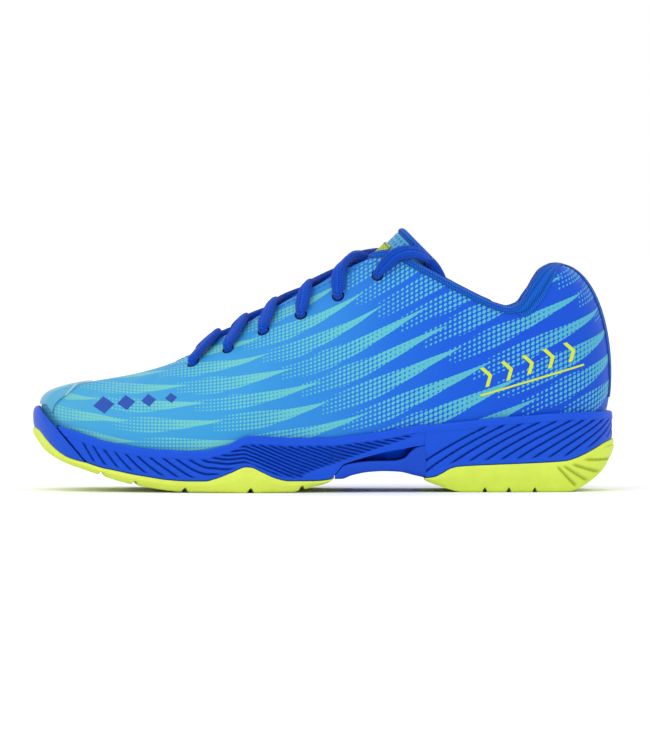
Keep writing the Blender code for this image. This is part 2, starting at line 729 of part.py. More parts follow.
def tongue_solid(name, collection, look):
    """The padded tongue: thin at the base, thick at the top, thinner towards its side edges."""
    outer, inner = [], []
    for x in TONGUE_X:
        thick = float(TONGUE_T(x))
        outer.append(tongue_row(x, 0))
        far = tongue_row(x, thick)
        near = tongue_row(x, 2.2)
        share = np.clip(1.15 - np.abs(np.linspace(-1, 1, 13)) ** 3, 0, 1)[:, None]
        inner.append(near + (far - near) * share)
    points, faces = loft(outer + inner[::-1], False, True)
    return add_object(name, points, faces, collection, look)


def tongue_cap(name, collection, look):
    """Piping on the tongue's top edge, a flattened tube along its arc."""
    x = TONGUE_X[-1]
    rows = []
    section = ((-0.6, 0.4), (-0.7, 1.8), (0.5, 3.3), (2.5, 3.9), (4.5, 3.3), (5.6, 1.8), (5.5, 0.4))
    for depth, push in section:
        rows.append(tongue_row(x, depth, push))
    points, faces = loft(rows, False, True)
    return add_object(name, points, faces, collection, look)


# ---------------------------------------------------------------- lace


def hole_frames():
    """Position, normal, direction to the edge and edge point of each hole, by side."""
    made = {}
    for side in (-1, 1):
        for i, (x, z) in enumerate(HOLES):
            u, t = find_on_side(x, z, side)
            here, normal, _ = frames(np.array([u]), np.array([t]))
            edge, edge_normal, _ = frames(np.array([u]), np.array([1.0]))
            up = edge[0] - here[0]
            up -= normal[0] * up.dot(normal[0])
            made[side, i] = (here[0], normal[0], up / np.linalg.norm(up), edge[0], edge_normal[0])
    return made


HOLE = hole_frames()


def strand(i, side, over):
    """Centre-line points of the lace from hole i on one side to hole i + 1 on the other."""
    here, normal, up, edge, edge_normal = HOLE[side, i]
    there, far_normal, far_up, far_edge, far_edge_normal = HOLE[-side, i + 1]
    x = (here[0] + there[0]) / 2
    centre, _, lift = tongue_frame(x)
    height = 6.6 if over else 2.9
    across = np.array([0, side, 0.0])
    points = [
        (here - normal * 1.2, 0.66),
        (here + normal * 1.4 + up * 0.3, 0.66),
        (here + normal * 2.3 + up * 3.6, 1),
        (edge + edge_normal * 3.2 - up * 0.8, 1),
    ]
    if i == 4:
        points.append((edge + np.array([4.5, -2.0 * side, 6.5]), 1))
        points.append((edge + np.array([10.5, -7.5 * side, 6.0]), 1))
    points += [
        (centre + lift * (height - 0.4) + across * 4.5 - np.array([1.6, 0, 1.2]), 1),
        (centre + lift * (height - 0.9) - across * 4.5 + np.array([1.6, 0, 0.6]), 1),
        (far_edge - far_edge_normal * 4.4 + far_up * 1.0, 1),
        (there - far_normal * 4.5 + far_up * 3.8, 1),
        (there - far_normal * 3.6 + far_up * 0.3, 0.66),
    ]
    return points


def tail(side):
    """The loose end from the last hole over the rim and down inside the collar."""
    here, normal, up, edge, edge_normal = HOLE[side, 5]
    out = np.array([0, side, 0.0])
    return [
        (here - normal * 1.2, 0.66),
        (here + normal * 1.4 + np.array([0.6, 0, 0.4]), 0.66),
        (here + normal * 2.6 + np.array([5, 0, 4.6]), 1),
        (np.array([36, -1.5, 118.4]) + out * 29.4, 1),
        (np.array([43, -1.5, 122.2]) + out * 27.6, 1),
        (np.array([50, -1.6, 119.6]) + out * 24.6, 1),
        (np.array([55.5, -1.6, 112.0]) + out * 23.6, 0.95),
        (np.array([59.5, -1.6, 102.0]) + out * 23.0, 0.9),
        (np.array([62, -1.6, 93.0]) + out * 22.8, 0.6),
    ]


def lace_route():
    """Every centre-line point from the medial tail to the lateral tail, with its width share."""
    half = {}
    for start in (-1, 1):
        side = start
        points = []
        for i in range(5):
            points += strand(i, side, over=(start < 0) == (i % 2 == 0))
            side = -side
        half[start] = points + tail(side)
    bar_l, bar_m = HOLE[-1, 0], HOLE[1, 0]
    centre, _, lift = tongue_frame(-64.5)
    bar = [
        (bar_l[0] - bar_l[1] * 4.0 + bar_l[2] * 1.5, 0.8),
        (centre + lift * 2.7, 0.9),
        (bar_m[0] - bar_m[1] * 4.0 + bar_m[2] * 1.5, 0.8),
    ]
    return half[-1][::-1] + bar + half[1]


def spline(points, per_span):
    """A centripetal Catmull-Rom curve through the points, with the width shares carried."""
    places = np.array([np.append(p, w) for p, w in points])
    places = np.vstack([2 * places[0] - places[1], places, 2 * places[-1] - places[-2]])
    made = []
    for i in range(1, len(places) - 2):
        p = places[i - 1 : i + 3]
        knots = [0.0]
        for a, b in zip(p[:-1], p[1:]):
            knots.append(knots[-1] + max(np.linalg.norm((b - a)[:3]), 1e-6) ** 0.5)
        for s in range(per_span):
            t = knots[1] + (knots[2] - knots[1]) * s / per_span
            level = [p[k] for k in range(4)]
            for depth in range(1, 4):
                nxt = []
                for k in range(4 - depth):
                    lo, hi = (k, k + depth) if depth != 2 else (k, k + 2)
                    if depth == 3:
                        lo, hi = 1, 2
                    span = knots[hi] - knots[lo]
                    nxt.append(level[k] * (knots[hi] - t) / span + level[k + 1] * (t - knots[lo]) / span)
                level = nxt
            made.append(level[0])
    made.append(places[-2])
    return np.array(made)


def width_directions(path, turning):
    """Unit width directions square to the path. turning holds (index, direction) hints."""
    tangent = np.gradient(path, axis=0)
    tangent /= np.linalg.norm(tangent, axis=1)[:, None]
    keys = np.array([k for k, _ in turning], float)
    hints = np.array([h for _, h in turning])
    index = np.arange(len(path))
    wide = np.column_stack([np.interp(index, keys, hints[:, c]) for c in range(3)])
    wide -= tangent * (wide * tangent).sum(1)[:, None]
    for _ in range(2):
        wide = (np.roll(wide, 1, axis=0) + 2 * wide + np.roll(wide, -1, axis=0)) / 4
        wide -= tangent * (wide * tangent).sum(1)[:, None]
    wide /= np.linalg.norm(wide, axis=1)[:, None]
    return tangent, wide


def lace_path(per_span):
    points = lace_route()
    path = spline(points, per_span)
    along = np.array([0.72, 0, 0.69])
    flat = np.array([0.72, 0, -0.69])
    total = len(points)
    hints = [(0, flat)]
    ends = {0: flat, 6: flat, 8: along, total - 9: along, total - 7: flat, total - 1: flat}
    hints = sorted(ends.items())
    hints = [(k * per_span, v) for k, v in hints]
    tangent, wide = width_directions(path[:, :3], hints)
    return path[:, :3], path[:, 3], tangent, wide


def lace_solid(name, collection, look, per_span=2):
    path, share, tangent, wide = lace_path(per_span)
    thick = np.cross(tangent, wide)
    rows = []
    corners = ((1, 0), (0.62, 0.86), (-0.62, 0.86), (-1, 0), (-0.62, -0.86), (0.62, -0.86))
    for side, height in corners:
        offset = wide * (side * LACE_W / 2 * share)[:, None] + thick * (height * LACE_T / 2)
        rows.append(path + offset)
    points, faces = loft(rows, False, True)
    return add_object(name, points, faces, collection, look)


def aglet(name, start, end, collection, look):
    """A round lace tip on the straight line from start to end, one collar round its lace."""
    start, end = np.array(start, float), np.array(end, float)
    axis = (end - start) / np.linalg.norm(end - start)
    side = np.cross(axis, [0, 1, 0])
    side /= np.linalg.norm(side)
    other = np.cross(axis, side)
    rows = []
    for radius, at in ((0, 0), (1.3, 0), (1.5, 0.06), (1.5, 0.92), (0.9, 1), (0, 1)):
        place = start + (end - start) * at
        row = []
        for i in range(10):
            a = 2 * math.pi * i / 10
            row.append(place + (side * math.cos(a) + other * math.sin(a)) * radius)
        rows.append(row)
    points, faces = loft(rows, True, False)
    return add_object(name, points, faces, collection, look)


# ---------------------------------------------------------------- build


def build():
    clear_scene()
    shoe = new_collection("court_shoe")
    cutters = new_collection("cutters", hidden=True)

    rubber = material("rubber_lime", (0.62, 0.83, 0.08), 0.55)
    foam = material("midsole_foam_blue", (0.012, 0.09, 0.68), 0.6)
    guard = material("toe_guard_blue", (0.012, 0.09, 0.70), 0.5)
    plate = material("shank_plastic_blue", (0.008, 0.05, 0.42), 0.4)
    pod_look = material("pod_gel_grey", (0.35, 0.37, 0.4), 0.5)
    board_look = material("board_white", (0.8, 0.8, 0.76), 0.9)
    sock_look = material("sockliner_blue", (0.02, 0.12, 0.55), 0.9, 0.3)
    skin = material("upper_skin_blue", (0.04, 0.25, 0.75), 0.6)
    film = material("toe_film_cyan", (0.1, 0.45, 0.72), 0.4)
    tape = material("tape_blue", (0.015, 0.12, 0.62), 0.6)
    knit = material("collar_knit_blue", (0.02, 0.16, 0.66), 0.85, 0.3)
    mesh_look = material("tongue_mesh_cyan", (0.08, 0.48, 0.85), 0.85, 0.3)
    label_look = material("label_lime", (0.6, 0.85, 0.1), 0.8)
    lace_look = material("lace_royal", (0.005, 0.05, 0.62), 0.8, 0.3)
    tip = material("aglet_plastic", (0.01, 0.06, 0.55), 0.25)
    lining_look = material("lining_knit_blue", (0.015, 0.1, 0.5), 0.9, 0.3)
    stiff = material("stiffener_grey", (0.45, 0.46, 0.47), 0.8)
    padding = material("collar_padding", (0.75, 0.74, 0.68), 0.9)

    # Outsole, in two parts cut from one full-length tray
    for name, low, high in (
        ("outsole_forefoot", -200, FOREFOOT_END),
        ("outsole_heel", HEEL_START, 200),
    ):
        points, faces = loft(outsole_rings(), True, False)
        obj = add_object(name, points, faces, shoe, rubber)
        keep = box("keep_" + name, (low, -90, -20), (high, 90, 90), cutters)
        boolean(obj, keep, "INTERSECT")

    # Midsole, less the toe guard's seat and the two cushion pockets
    points, faces = loft(midsole_rings(), True, False)
    midsole = add_object("midsole", points, faces, shoe, foam)
    band_rows = [
        ring(inset(-4), BAND - 2),
        ring(inset(-4), 60),
        ring(inset(BUMPER_IN + GAP), 60),
        ring(inset(BUMPER_IN + GAP), BAND - 2),
    ]
    rays = toe_rays(0)
    points, faces = loft([row[rays] for row in band_rows], False, True)
    seat = add_object("toe_guard_seat", points, faces, cutters)
    seat.display_type = "WIRE"
    front = half_space("front_of_seam", SEAM_PLANE, 0.15, cutters)
    boolean(seat, front, "INTERSECT")
    boolean(midsole, seat, "DIFFERENCE")
    pods = (
        ("cushion_forefoot", (-62, 1.5), (26, 30), 8.0, 12.3),
        ("cushion_heel", (97, -1.5), (23, 18), 14.0, 25.3),
    )
    for name, centre, radii, low, high in pods:
        pocket = pod("pocket_" + name, centre, radii, low, high + 20, cutters)
        pocket.display_type = "WIRE"
        boolean(midsole, pocket, "DIFFERENCE")
        small = (radii[0] - 0.4, radii[1] - 0.4)
        pod(name, centre, small, low + GAP, high, shoe, pod_look)

    # Toe guard in front of its slanting seam
    points, faces = loft([row[rays] for row in bumper_rows()], False, True)
    bumper = add_object("toe_bumper", points, faces, shoe, guard)
    boolean(bumper, half_space("toe_guard_region", SEAM_PLANE, -0.15, cutters), "INTERSECT")

    # Bridge under the arch
    points, faces = loft(shank_rings(), True, False)
    shank = add_object("arch_shank", points, faces, shoe, plate)
    keep = box("keep_arch_shank", (SHANK_START, -90, -20), (SHANK_END, 90, 90), cutters)
    boolean(shank, keep, "INTERSECT")

    # Footbed board and removable sockliner
    low, high = plus(BED_Z, BOARD[0]), plus(BED_Z, BOARD[1])
    rings = [ring(core(0), low), ring(core(1), low), ring(inset(7.2), low)]
    rings += [ring(inset(7.2), high), ring(core(1), high), ring(core(0), high)]
    points, faces = loft(rings, True, False)
    add_object("strobel_board", points, faces, shoe, board_look)
    low, high = plus(BED_Z, INSOLE[0]), plus(BED_Z, INSOLE[1])
    rings = [ring(core(0), low), ring(core(1), low), ring(inset(11), low)]
    rings.append(ring(inset(10.4), plus(BED_Z, INSOLE[0] + 1.2)))
    rings.append(ring(inset(10.6), plus(BED_Z, INSOLE[1] + 0.4)))
    rings.append(ring(inset(11.4), plus(BED_Z, INSOLE[1] + 0.5)))
    rings += [ring(core(1), high), ring(core(0), high)]
    points, faces = loft(rings, True, False)
    add_object("insole", points, faces, shoe, sock_look)

    # Upper shell with its punched lace holes
    every = list(range(COUNT))
    rows_t = [0.0, TUCK, 0.2, 0.3, 0.42, 0.54, 0.66, 0.77, 0.88, 0.95, 1.0]
    shell = layer("upper_shell", every, rows_t, 0, SHELL, True, shoe, skin)
    toe_and_throat = around_toe(37)
    backer_t = [t_at_distance(toe_and_throat, d) for d in (14, 9.5, 5, 0.8)]
    backer = layer("eyestay_backer", toe_and_throat, backer_t, *BACKER, False, shoe, tape)
    for (side, i), (here, normal, *_) in HOLE.items():
        punch = aglet(f"punch_{side + 1}_{i}", here + normal * 6, here - normal * 6, cutters, None)
        grow_about_axis(punch, here, normal, HOLE_D / 3.0)
        punch.display_type = "WIRE"
        boolean(shell, punch, "DIFFERENCE")
        boolean(backer, punch, "DIFFERENCE")

    # Toe film, toe puff, heel counter and back tape
    front_rays = [j % COUNT for j in range(TOE_ANGLES.index(54), -TOE_ANGLES.index(43) - 1, -1)]
    start = t_at_height(front_rays, CONTROLS[1][front_rays, 2] + 0.9)
    stop = np.maximum(t_at_film_edge(front_rays), start + 0.03)
    film_t = [start + (stop - start) * s for s in (0, 0.25, 0.5, 0.75, 1)]
    layer("toe_overlay", front_rays, film_t, *TOE_FILM, False, shoe, film)
    puff_rays = toe_rays(8)
    layer("toe_puff", puff_rays, [0.06, TUCK, 0.2, 0.3, 0.42, 0.5], *PUFF, False, shoe, stiff)
    layer("heel_counter", around_heel(66), [0.06, TUCK, 0.2, 0.3, 0.42], *COUNTER, False, shoe, stiff)
    tape_rays = [j for j in around_heel(108) if STATION[j] > 138]
    layer("back_tape", tape_rays, rows_t[2:-2] + [0.97], *BACK_TAPE, False, shoe, tape)

    # Linings and collar padding
    vamp_rays = around_toe(11)
    shares = [(t - 0.05) / 0.94 for t in (0.05, TUCK, 0.2, 0.3, 0.42, 0.54, 0.66, 0.77, 0.88, 0.95, 0.99)]
    below_holes = through((-145, 19), (-108, 25), (-64, 22), (-30, 18.5), (12, 18.5))
    high_t = np.array([float(t_at_distance([j], below_holes(STATION[j]))[0]) for j in vamp_rays])
    lining_t = [0.05 + (high_t - 0.05) * s for s in shares[:-2] + [1]]
    layer("vamp_lining", vamp_rays, lining_t, *VAMP_LINING, False, shoe, lining_look)
    rear = around_heel(11.8)
    top_distance = through((11.8, 18.5), (28, 16.5), (37, 11), (44, 0.7), (145, 0.7))
    high_t = np.array([float(t_at_distance([j], top_distance(STATION[j]))[0]) for j in rear])
    lining_t = [0.05 + (high_t - 0.05) * s for s in shares]
    layer(
        "collar_lining", rear, lining_t,
        lambda t: collar_total(rear, t) - LINING, lambda t: collar_total(rear, t),
        False, shoe, lining_look,
    )
    padded = around_heel(44)
    pad_t = [0.48, 0.54, 0.66, 0.77, 0.88, 0.95, 0.97]
    layer(
        "collar_padding", padded, pad_t,
        1.5, lambda t: collar_total(padded, t) - LINING - 0.6,
        False, shoe, padding,
    )
    rim = around_heel(19)
    depth = through(
        (19, 2.4), (37, 2.6), (44, 4.4), (49.4, 5), (58, 6), (66, 7), (76, 8.3), (94, 9), (145, 9),
    )
    points, faces = loft(cap_rows(rim, depth(STATION[rim])), False, True)
    add_object("collar_binding", points, faces, shoe, knit)

    # Tongue
    tongue_solid("tongue", shoe, mesh_look)
    tongue_cap("tongue_binding", shoe, knit)
    rows = []
    for depth_mm in (-0.9, -0.35):
        for x in (24, 28, 32) if depth_mm < -0.5 else (32, 28, 24):
            rows.append(tongue_row(x, depth_mm)[4:9])
    points, faces = loft(rows, False, True)
    add_object("tongue_label", points, faces, shoe, label_look)

    # Lace and its tips
    lace_solid("lace", shoe, lace_look)
    for name, side in (("aglet_lateral", -1), ("aglet_medial", 1)):
        start = np.array([62.2, -1.6 + side * 22.8, 92.2])
        end = np.array([65.4, -1.6 + side * 22.4, 79.0])
        aglet(name, start, end, shoe, tip)


def grow_about_axis(obj, centre, axis, factor):
    """Scales a mesh across an axis through centre, leaving its length."""
    centre, axis = np.asarray(centre) * MM, np.asarray(axis)
    for vertex in obj.data.vertices:
        offset = np.array(vertex.co) - centre
        along = axis * offset.dot(axis)
        vertex.co = centre + along + (offset - along) * factor


build()
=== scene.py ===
"""Court shoe, left foot: the finished looks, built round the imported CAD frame.

Shapes are worked out in millimetres in the frame's own axes: +X runs to the heel, -Y is the
lateral side, +Z is up and the sole stands on z = 0. Sole and upper are lofted over a fan of
rays that start at the sole's outline. A ray's station is its x along the straight middle of
the shoe and is counted on round the toe and heel arcs, from -145 to 145.
"""

import functools
import math

import bmesh
import bpy
import numpy as np
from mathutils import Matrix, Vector


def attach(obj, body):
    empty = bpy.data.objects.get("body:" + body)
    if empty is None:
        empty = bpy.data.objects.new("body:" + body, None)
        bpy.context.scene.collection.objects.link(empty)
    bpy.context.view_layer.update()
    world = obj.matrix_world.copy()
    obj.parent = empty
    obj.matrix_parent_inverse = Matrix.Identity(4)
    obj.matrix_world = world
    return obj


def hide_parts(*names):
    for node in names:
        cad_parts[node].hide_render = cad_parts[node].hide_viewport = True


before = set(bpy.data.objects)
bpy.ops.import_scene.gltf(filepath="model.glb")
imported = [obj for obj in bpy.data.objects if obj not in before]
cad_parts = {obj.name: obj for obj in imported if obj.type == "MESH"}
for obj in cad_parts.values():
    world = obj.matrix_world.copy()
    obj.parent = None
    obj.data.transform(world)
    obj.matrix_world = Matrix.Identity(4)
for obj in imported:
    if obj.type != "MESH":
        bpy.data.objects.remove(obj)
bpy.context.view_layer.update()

# A millimetre in the scene's metres, and the angle from which an edge is shaded as sharp
MM, SHARP = 0.001, math.radians(38)

# Clearance between pieces, spacing of the rays, and the plan inset of the sole's core
GAP, RAY_STEP, CORE_IN = 0.3, 0.6, 14

# Centres of the outline's toe and heel arcs, and how far stations are counted round them
TOE_CENTRE_X, HEEL_CENTRE_X = -108.0, 108.0
ARC_RUN, STATION_END = 37.0, 145

# How far inside the outline the midsole's lip, its tray and the toe guard's inner wall stand
LIP_IN, TRAY_IN, BUMPER_IN = 3.1, 3.55, 3.6

# Side-view ends of the toe guard's seam, and the x where treads and shank end
SEAM_PLANE = ((-132.5, 31.1), (-118.6, 15.3))
FOREFOOT_END, HEEL_START = 5.5, 50.2
SHANK_START, SHANK_END = 5.8, 51.0

# Outer and inner depths of the upper's layers under its surface, and two single thicknesses
TOE_FILM, BACK_TAPE, VAMP_LINING = (-0.9, -0.1), (-0.6, -0.05), (2.5, 3.3)
SHELL, LINING = 1.2, 0.8

# Share of each ray below the lip, heights of the insole over the foot bed, the toe film's rear
# edge, and the rounded ends of the rim: centre x, length and half width
TUCK = 0.12
INSOLE = (2.3, 6.3)
FILM_EDGE_X, FILM_EDGE_BOW = -115.4, 0.026
THROAT_TOE, COLLAR_HEEL = (-62, 9, 9.5), (103, 16.5, 28)

# Lace holes in side view, from the toe up, and the lace's section
HOLES = ((-64.7, 63.7), (-47.2, 70.9), (-29.6, 79.8), (-11.0, 88.0), (7.5, 97.3), (27.1, 107.6))
HOLE_R = 3.2
LACE_W, LACE_T = 6.9, 3.7

# Share of a colour's brightness that is kept in the bright studio
DEEPEN = 0.76

# Camera: focal length in mm, distance in m, tilt in degrees and aim in m
CAMERA_LENS, CAMERA_FAR, CAMERA_TILT = 482.0, 5.0, 1.2
CAMERA_AIM = (0.0010, -0.02, 0.0577)


def through(*points):
    """A smooth curve through (x, value) stations that doesn't overshoot them."""
    xs = np.array([p[0] for p in points], float)
    ys = np.array([p[1] for p in points], float)
    step = np.diff(xs)
    rise = np.diff(ys) / step
    slope = np.zeros(len(xs))
    slope[0], slope[-1] = rise[0], rise[-1]
    for i in range(1, len(xs) - 1):
        if rise[i - 1] * rise[i] > 0:
            a, b = 2 * step[i] + step[i - 1], step[i] + 2 * step[i - 1]
            slope[i] = (a + b) / (a / rise[i - 1] + b / rise[i])

    def value(x):
        x = np.clip(np.asarray(x, float), xs[0], xs[-1])
        i = np.clip(np.searchsorted(xs, x, side="right") - 1, 0, len(xs) - 2)
        t = (x - xs[i]) / step[i]
        h = step[i]
        return (
            (2 * t**3 - 3 * t**2 + 1) * ys[i]
            + (t**3 - 2 * t**2 + t) * h * slope[i]
            + (3 * t**2 - 2 * t**3) * ys[i + 1]
            + (t**3 - t**2) * h * slope[i + 1]
        )

    return value


# Plan of the sole
LATERAL_Y = through(
    (-108, -36.5), (-97, -40.5), (-80, -45), (-62, -48.5), (-50, -50.6), (-37, -52), (-22, -49.5),
    (0, -45), (20, -41.5), (40, -39.6), (60, -39), (80, -39), (98, -38.4), (108, -37.4),
)
MEDIAL_Y = through(
    (-108, 43.9), (-97, 46.4), (-80, 50), (-64, 51.8), (-50, 51), (-37, 48.8), (-20, 45),
    (0, 39.6), (20, 35.4), (40, 33.4), (60, 33.4), (80, 34.6), (98, 35.2), (108, 34.6),
)
TOE_R_LATERAL = through((0, 40.2), (30, 38), (60, 36.4), (90, 36.9))
TOE_R_MEDIAL = through((0, 40.2), (30, 40.4), (60, 39.5), (75, 38.1), (90, 36.9))
HEEL_R = through((0, 36), (30, 36.2), (60, 37), (90, 37.4))

# Side view of the sole
BOTTOM_Z = through(
    (-145, 27.5), (-142.5, 24.1), (-138.5, 19.8), (-134.5, 17.1), (-130.4, 15), (-126, 13.2),
    (-118, 10.6), (-110, 8), (-102, 5.5), (-94, 3.6), (-86, 2.2), (-78, 1), (-70, 0.2), (-66, 0),
    (-16, 0), (-10, 1.3), (-6, 2.4), (2, 4.5), (7, 7), (30, 8), (49, 7), (50.2, 6), (54.2, 4.2),
    (58.2, 2.8), (62.2, 1.4), (67, 0.2), (69, 0), (122, 0), (126.4, 1.2), (130.4, 3.2),
    (134.5, 6), (138.5, 9.4), (142.5, 14.4), (145, 19),
)
# The tread's top edge: both sides share their ends, and the lateral one waves between them
BAND_TOE = (
    (-145, 31.5), (-142.5, 30.1), (-138.5, 25.6), (-134.5, 21.6), (-130.4, 18.6), (-126.4, 16.6),
    (-122, 15.3), (-118.9, 14.6), (-110.4, 12), (-102.3, 10.3), (-94.3, 8.7), (-86.3, 7.4),
    (-76.3, 6), (-66, 5.5),
)
BAND_HEEL = (
    (-16.6, 5.6), (-4.5, 5.6), (4, 6.4), (7, 8.2), (49, 8.2), (50, 6.9), (55, 7.4), (59.7, 9.5),
    (63.2, 11.5), (67.2, 12.5), (74.3, 13), (86, 13.5), (110, 14.5), (121.4, 15.3),
    (126.9, 16.9), (135, 20.6), (140.5, 23.6), (145.5, 25.8),
)
BAND_WAVE = (
    (-58.7, 5.5), (-53.2, 6.8), (-45.7, 9.7), (-38, 12.6), (-35.5, 12.4), (-30, 10), (-22.6, 6.8),
)
BAND_LATERAL = through(*BAND_TOE, *BAND_WAVE, *BAND_HEEL)
BAND_MEDIAL = through(*BAND_TOE, *BAND_HEEL)
TRAY_Z = through(
    (-145, 28.5), (-142, 26), (-138.5, 23), (-134.5, 20.4), (-130.4, 18.2), (-118, 13.6),
    (-102, 8.7), (-86, 5.6), (-70, 4.1), (-66, 4), (-16, 4), (-10, 4.4), (-2, 5.2), (4, 5.9),
    (7, 7.7), (49, 7.7), (50.2, 6.6), (54, 6.4), (60, 5.4), (67, 4.1), (122, 4), (130, 6.4),
    (138.5, 12.6), (142.5, 17.6), (145, 21),
)
# The midsole's lip, in the same way
LIP_TOE = (
    (-145, 34), (-131.4, 32.1), (-124.4, 30.1), (-116.4, 27.6), (-107.9, 25.1), (-97.8, 23.1),
    (-87.8, 21.7), (-77.3, 21.1),
)
LIP_HEEL = (
    (45.2, 33.1), (55, 33.7), (65.7, 34.7), (74.3, 35.6), (83.3, 36.6), (102.4, 38.1),
    (115.9, 39.1), (126.9, 39.6), (145.5, 39.6),
)
LIP_WAVE = (
    (-66, 20.6), (-58.7, 20.7), (-53.2, 22.1), (-47.7, 23.7), (-42.6, 26.1), (-38, 28),
    (-33.6, 28.1), (-25, 27.7), (-15, 27.2), (4, 27.2), (17, 28.6), (29.6, 30.2), (40, 32.1),
)
LIP_CLIMB = ((-66, 20.8), (-50, 21.6), (-35, 23.4), (-15, 25.8), (4, 27.6), (29.6, 30.6))
LIP_LATERAL = through(*LIP_TOE, *LIP_WAVE, *LIP_HEEL)
LIP_MEDIAL = through(*LIP_TOE, *LIP_CLIMB, *LIP_HEEL)
BED_Z = through(
    (-145, 31), (-135, 27.2), (-120, 20.8), (-100, 15.4), (-80, 13), (-60, 12.5), (-30, 14),
    (0, 18), (12, 21), (30, 24), (50, 26), (70, 26), (100, 25.6), (145, 26),
)
BUMPER_Z = through(
    (-145, 41.6), (-141, 41.6), (-138.8, 38.8), (-136.7, 36.2), (-132, 32.2), (-126, 29),
    (-118, 26),
)
SHANK_BOTTOM_Z = through(
    (4, 6.5), (9, 6.5), (14.5, 8.3), (22, 9.8), (29.6, 10.3), (37.6, 10), (45.2, 8.3), (50, 7.2),
)
SHANK_TOP_Z = through(
    (4, 7.8), (6.2, 8.6), (10.5, 13.4), (14.5, 14.5), (24.6, 15.5), (34.6, 15.6), (40.1, 16.8),
    (44, 20.6), (47, 22.8), (50, 23.6),
)
SLOT_TOP_Z = through(
    (4, 7.4), (6.2, 9), (10.5, 13.9), (14.5, 15.3), (19.6, 16.9), (29.6, 19.6), (40.1, 21.6),
    (45.2, 22.6), (49, 23.1), (50, 23.4),
)

# Side view of the upper: its top edge and the fan of rays that ends on it
EDGE_Z = through(
    (-71, 65), (-62, 69.6), (-50, 76.5), (-37, 84), (-20, 93.6), (0, 104), (8, 108.4), (14, 111.6),
    (23.6, 115.6), (31, 117), (36, 116.1), (41.6, 113), (55, 105.8), (69, 98.2), (80, 92.8),
    (87, 90.1), (92.5, 88.8), (97, 90.2), (101, 95.4), (106.9, 104), (111.4, 109.4),
    (116.4, 112), (119.5, 112.4),
)
EDGE_X = through(
    (-108, -62), (-86, -50), (-64, -37), (-38, -20), (-12, 0), (11, 18), (28, 33), (44, 46.5),
    (58, 60), (76, 77), (86, 86), (94, 93.4), (100, 98.4), (108, 103),
)
EDGE_HALF = through(
    (-62, 9.5), (-50, 12), (-37, 13.6), (-20, 15), (0, 16.8), (18, 20), (33, 25), (47, 29.6),
    (60, 32), (77, 32.6), (90, 32), (98.5, 30), (103, 28),
)
MIDLINE_Y = through(
    (-145, 10), (-108, 3.7), (-71, 3.2), (-50, 2), (-20, 0.3), (10, -1), (50, -1.6), (120, -0.8),
)

# How each ray leaves the lip (rise, lean) and reaches the top edge (reach, drop)
RISE = through(
    (-145, 13.5), (-130, 15), (-118, 16), (-108, 17), (-86, 18), (-60, 19), (-30, 26), (0, 30),
    (30, 32), (60, 24), (94, 16), (108, 18), (125, 21), (145, 22.2),
)
LEAN = through(
    (-145, 0.6), (-130, 1.2), (-108, 2.6), (-86, 3.4), (-60, 3.2), (-30, 1), (0, -1.5), (30, -1),
    (60, 1.2), (94, 3), (108, 3.6), (125, 4.6), (145, 5.3),
)
REACH = through(
    (-145, 39), (-130, 33), (-118, 27), (-108, 23), (-86, 17), (-60, 14), (-30, 11), (0, 8),
    (30, 4), (60, 1.5), (94, 1.2), (108, 5), (125, 15), (145, 22),
)
DROP = through(
    (-145, 16.5), (-130, 15), (-108, 13), (-86, 11), (-60, 10), (-30, 12), (0, 16), (30, 20),
    (60, 22), (94, 16), (108, 12), (125, 6), (145, 4),
)
COLLAR_DEPTH = through(
    (37, 3.4), (44, 4.2), (49.4, 4.8), (58, 5.8), (66, 6.8), (76, 8.2), (94, 9), (145, 9),
)

# Tongue: height, radius and half angle across it, and thickness, by x along its centre line
TONGUE_START, TONGUE_END = -77, 37.2
TONGUE_Z = through(
    (-77, 55.6), (-71, 58.8), (-62, 64.2), (-50, 71.4), (-37, 79.2), (-20, 88.8), (0, 99.4),
    (10, 105.2), (20, 113), (29, 120.6), (37.2, 128.6),
)
TONGUE_R = through((-77, 26), (-50, 25), (-20, 24), (9, 22.8), (25, 21.6), (37.2, 20.6))
TONGUE_A = through((-77, 38), (-50, 46), (-20, 58), (9, 74), (25, 90), (37.2, 100))
TONGUE_T = through((-77, 2.4), (-50, 3.6), (0, 5), (25, 7), (34, 6.4), (37.2, 5))


# ---- rays and outline


def unit(vectors):
    """Vectors scaled to length 1."""
    return vectors / np.linalg.norm(vectors, axis=-1, keepdims=True)


def lengths_along(path):
    """Distance of each point from the first, along the path."""
    return np.concatenate([[0], np.cumsum(np.linalg.norm(np.diff(path, axis=0), axis=1))])


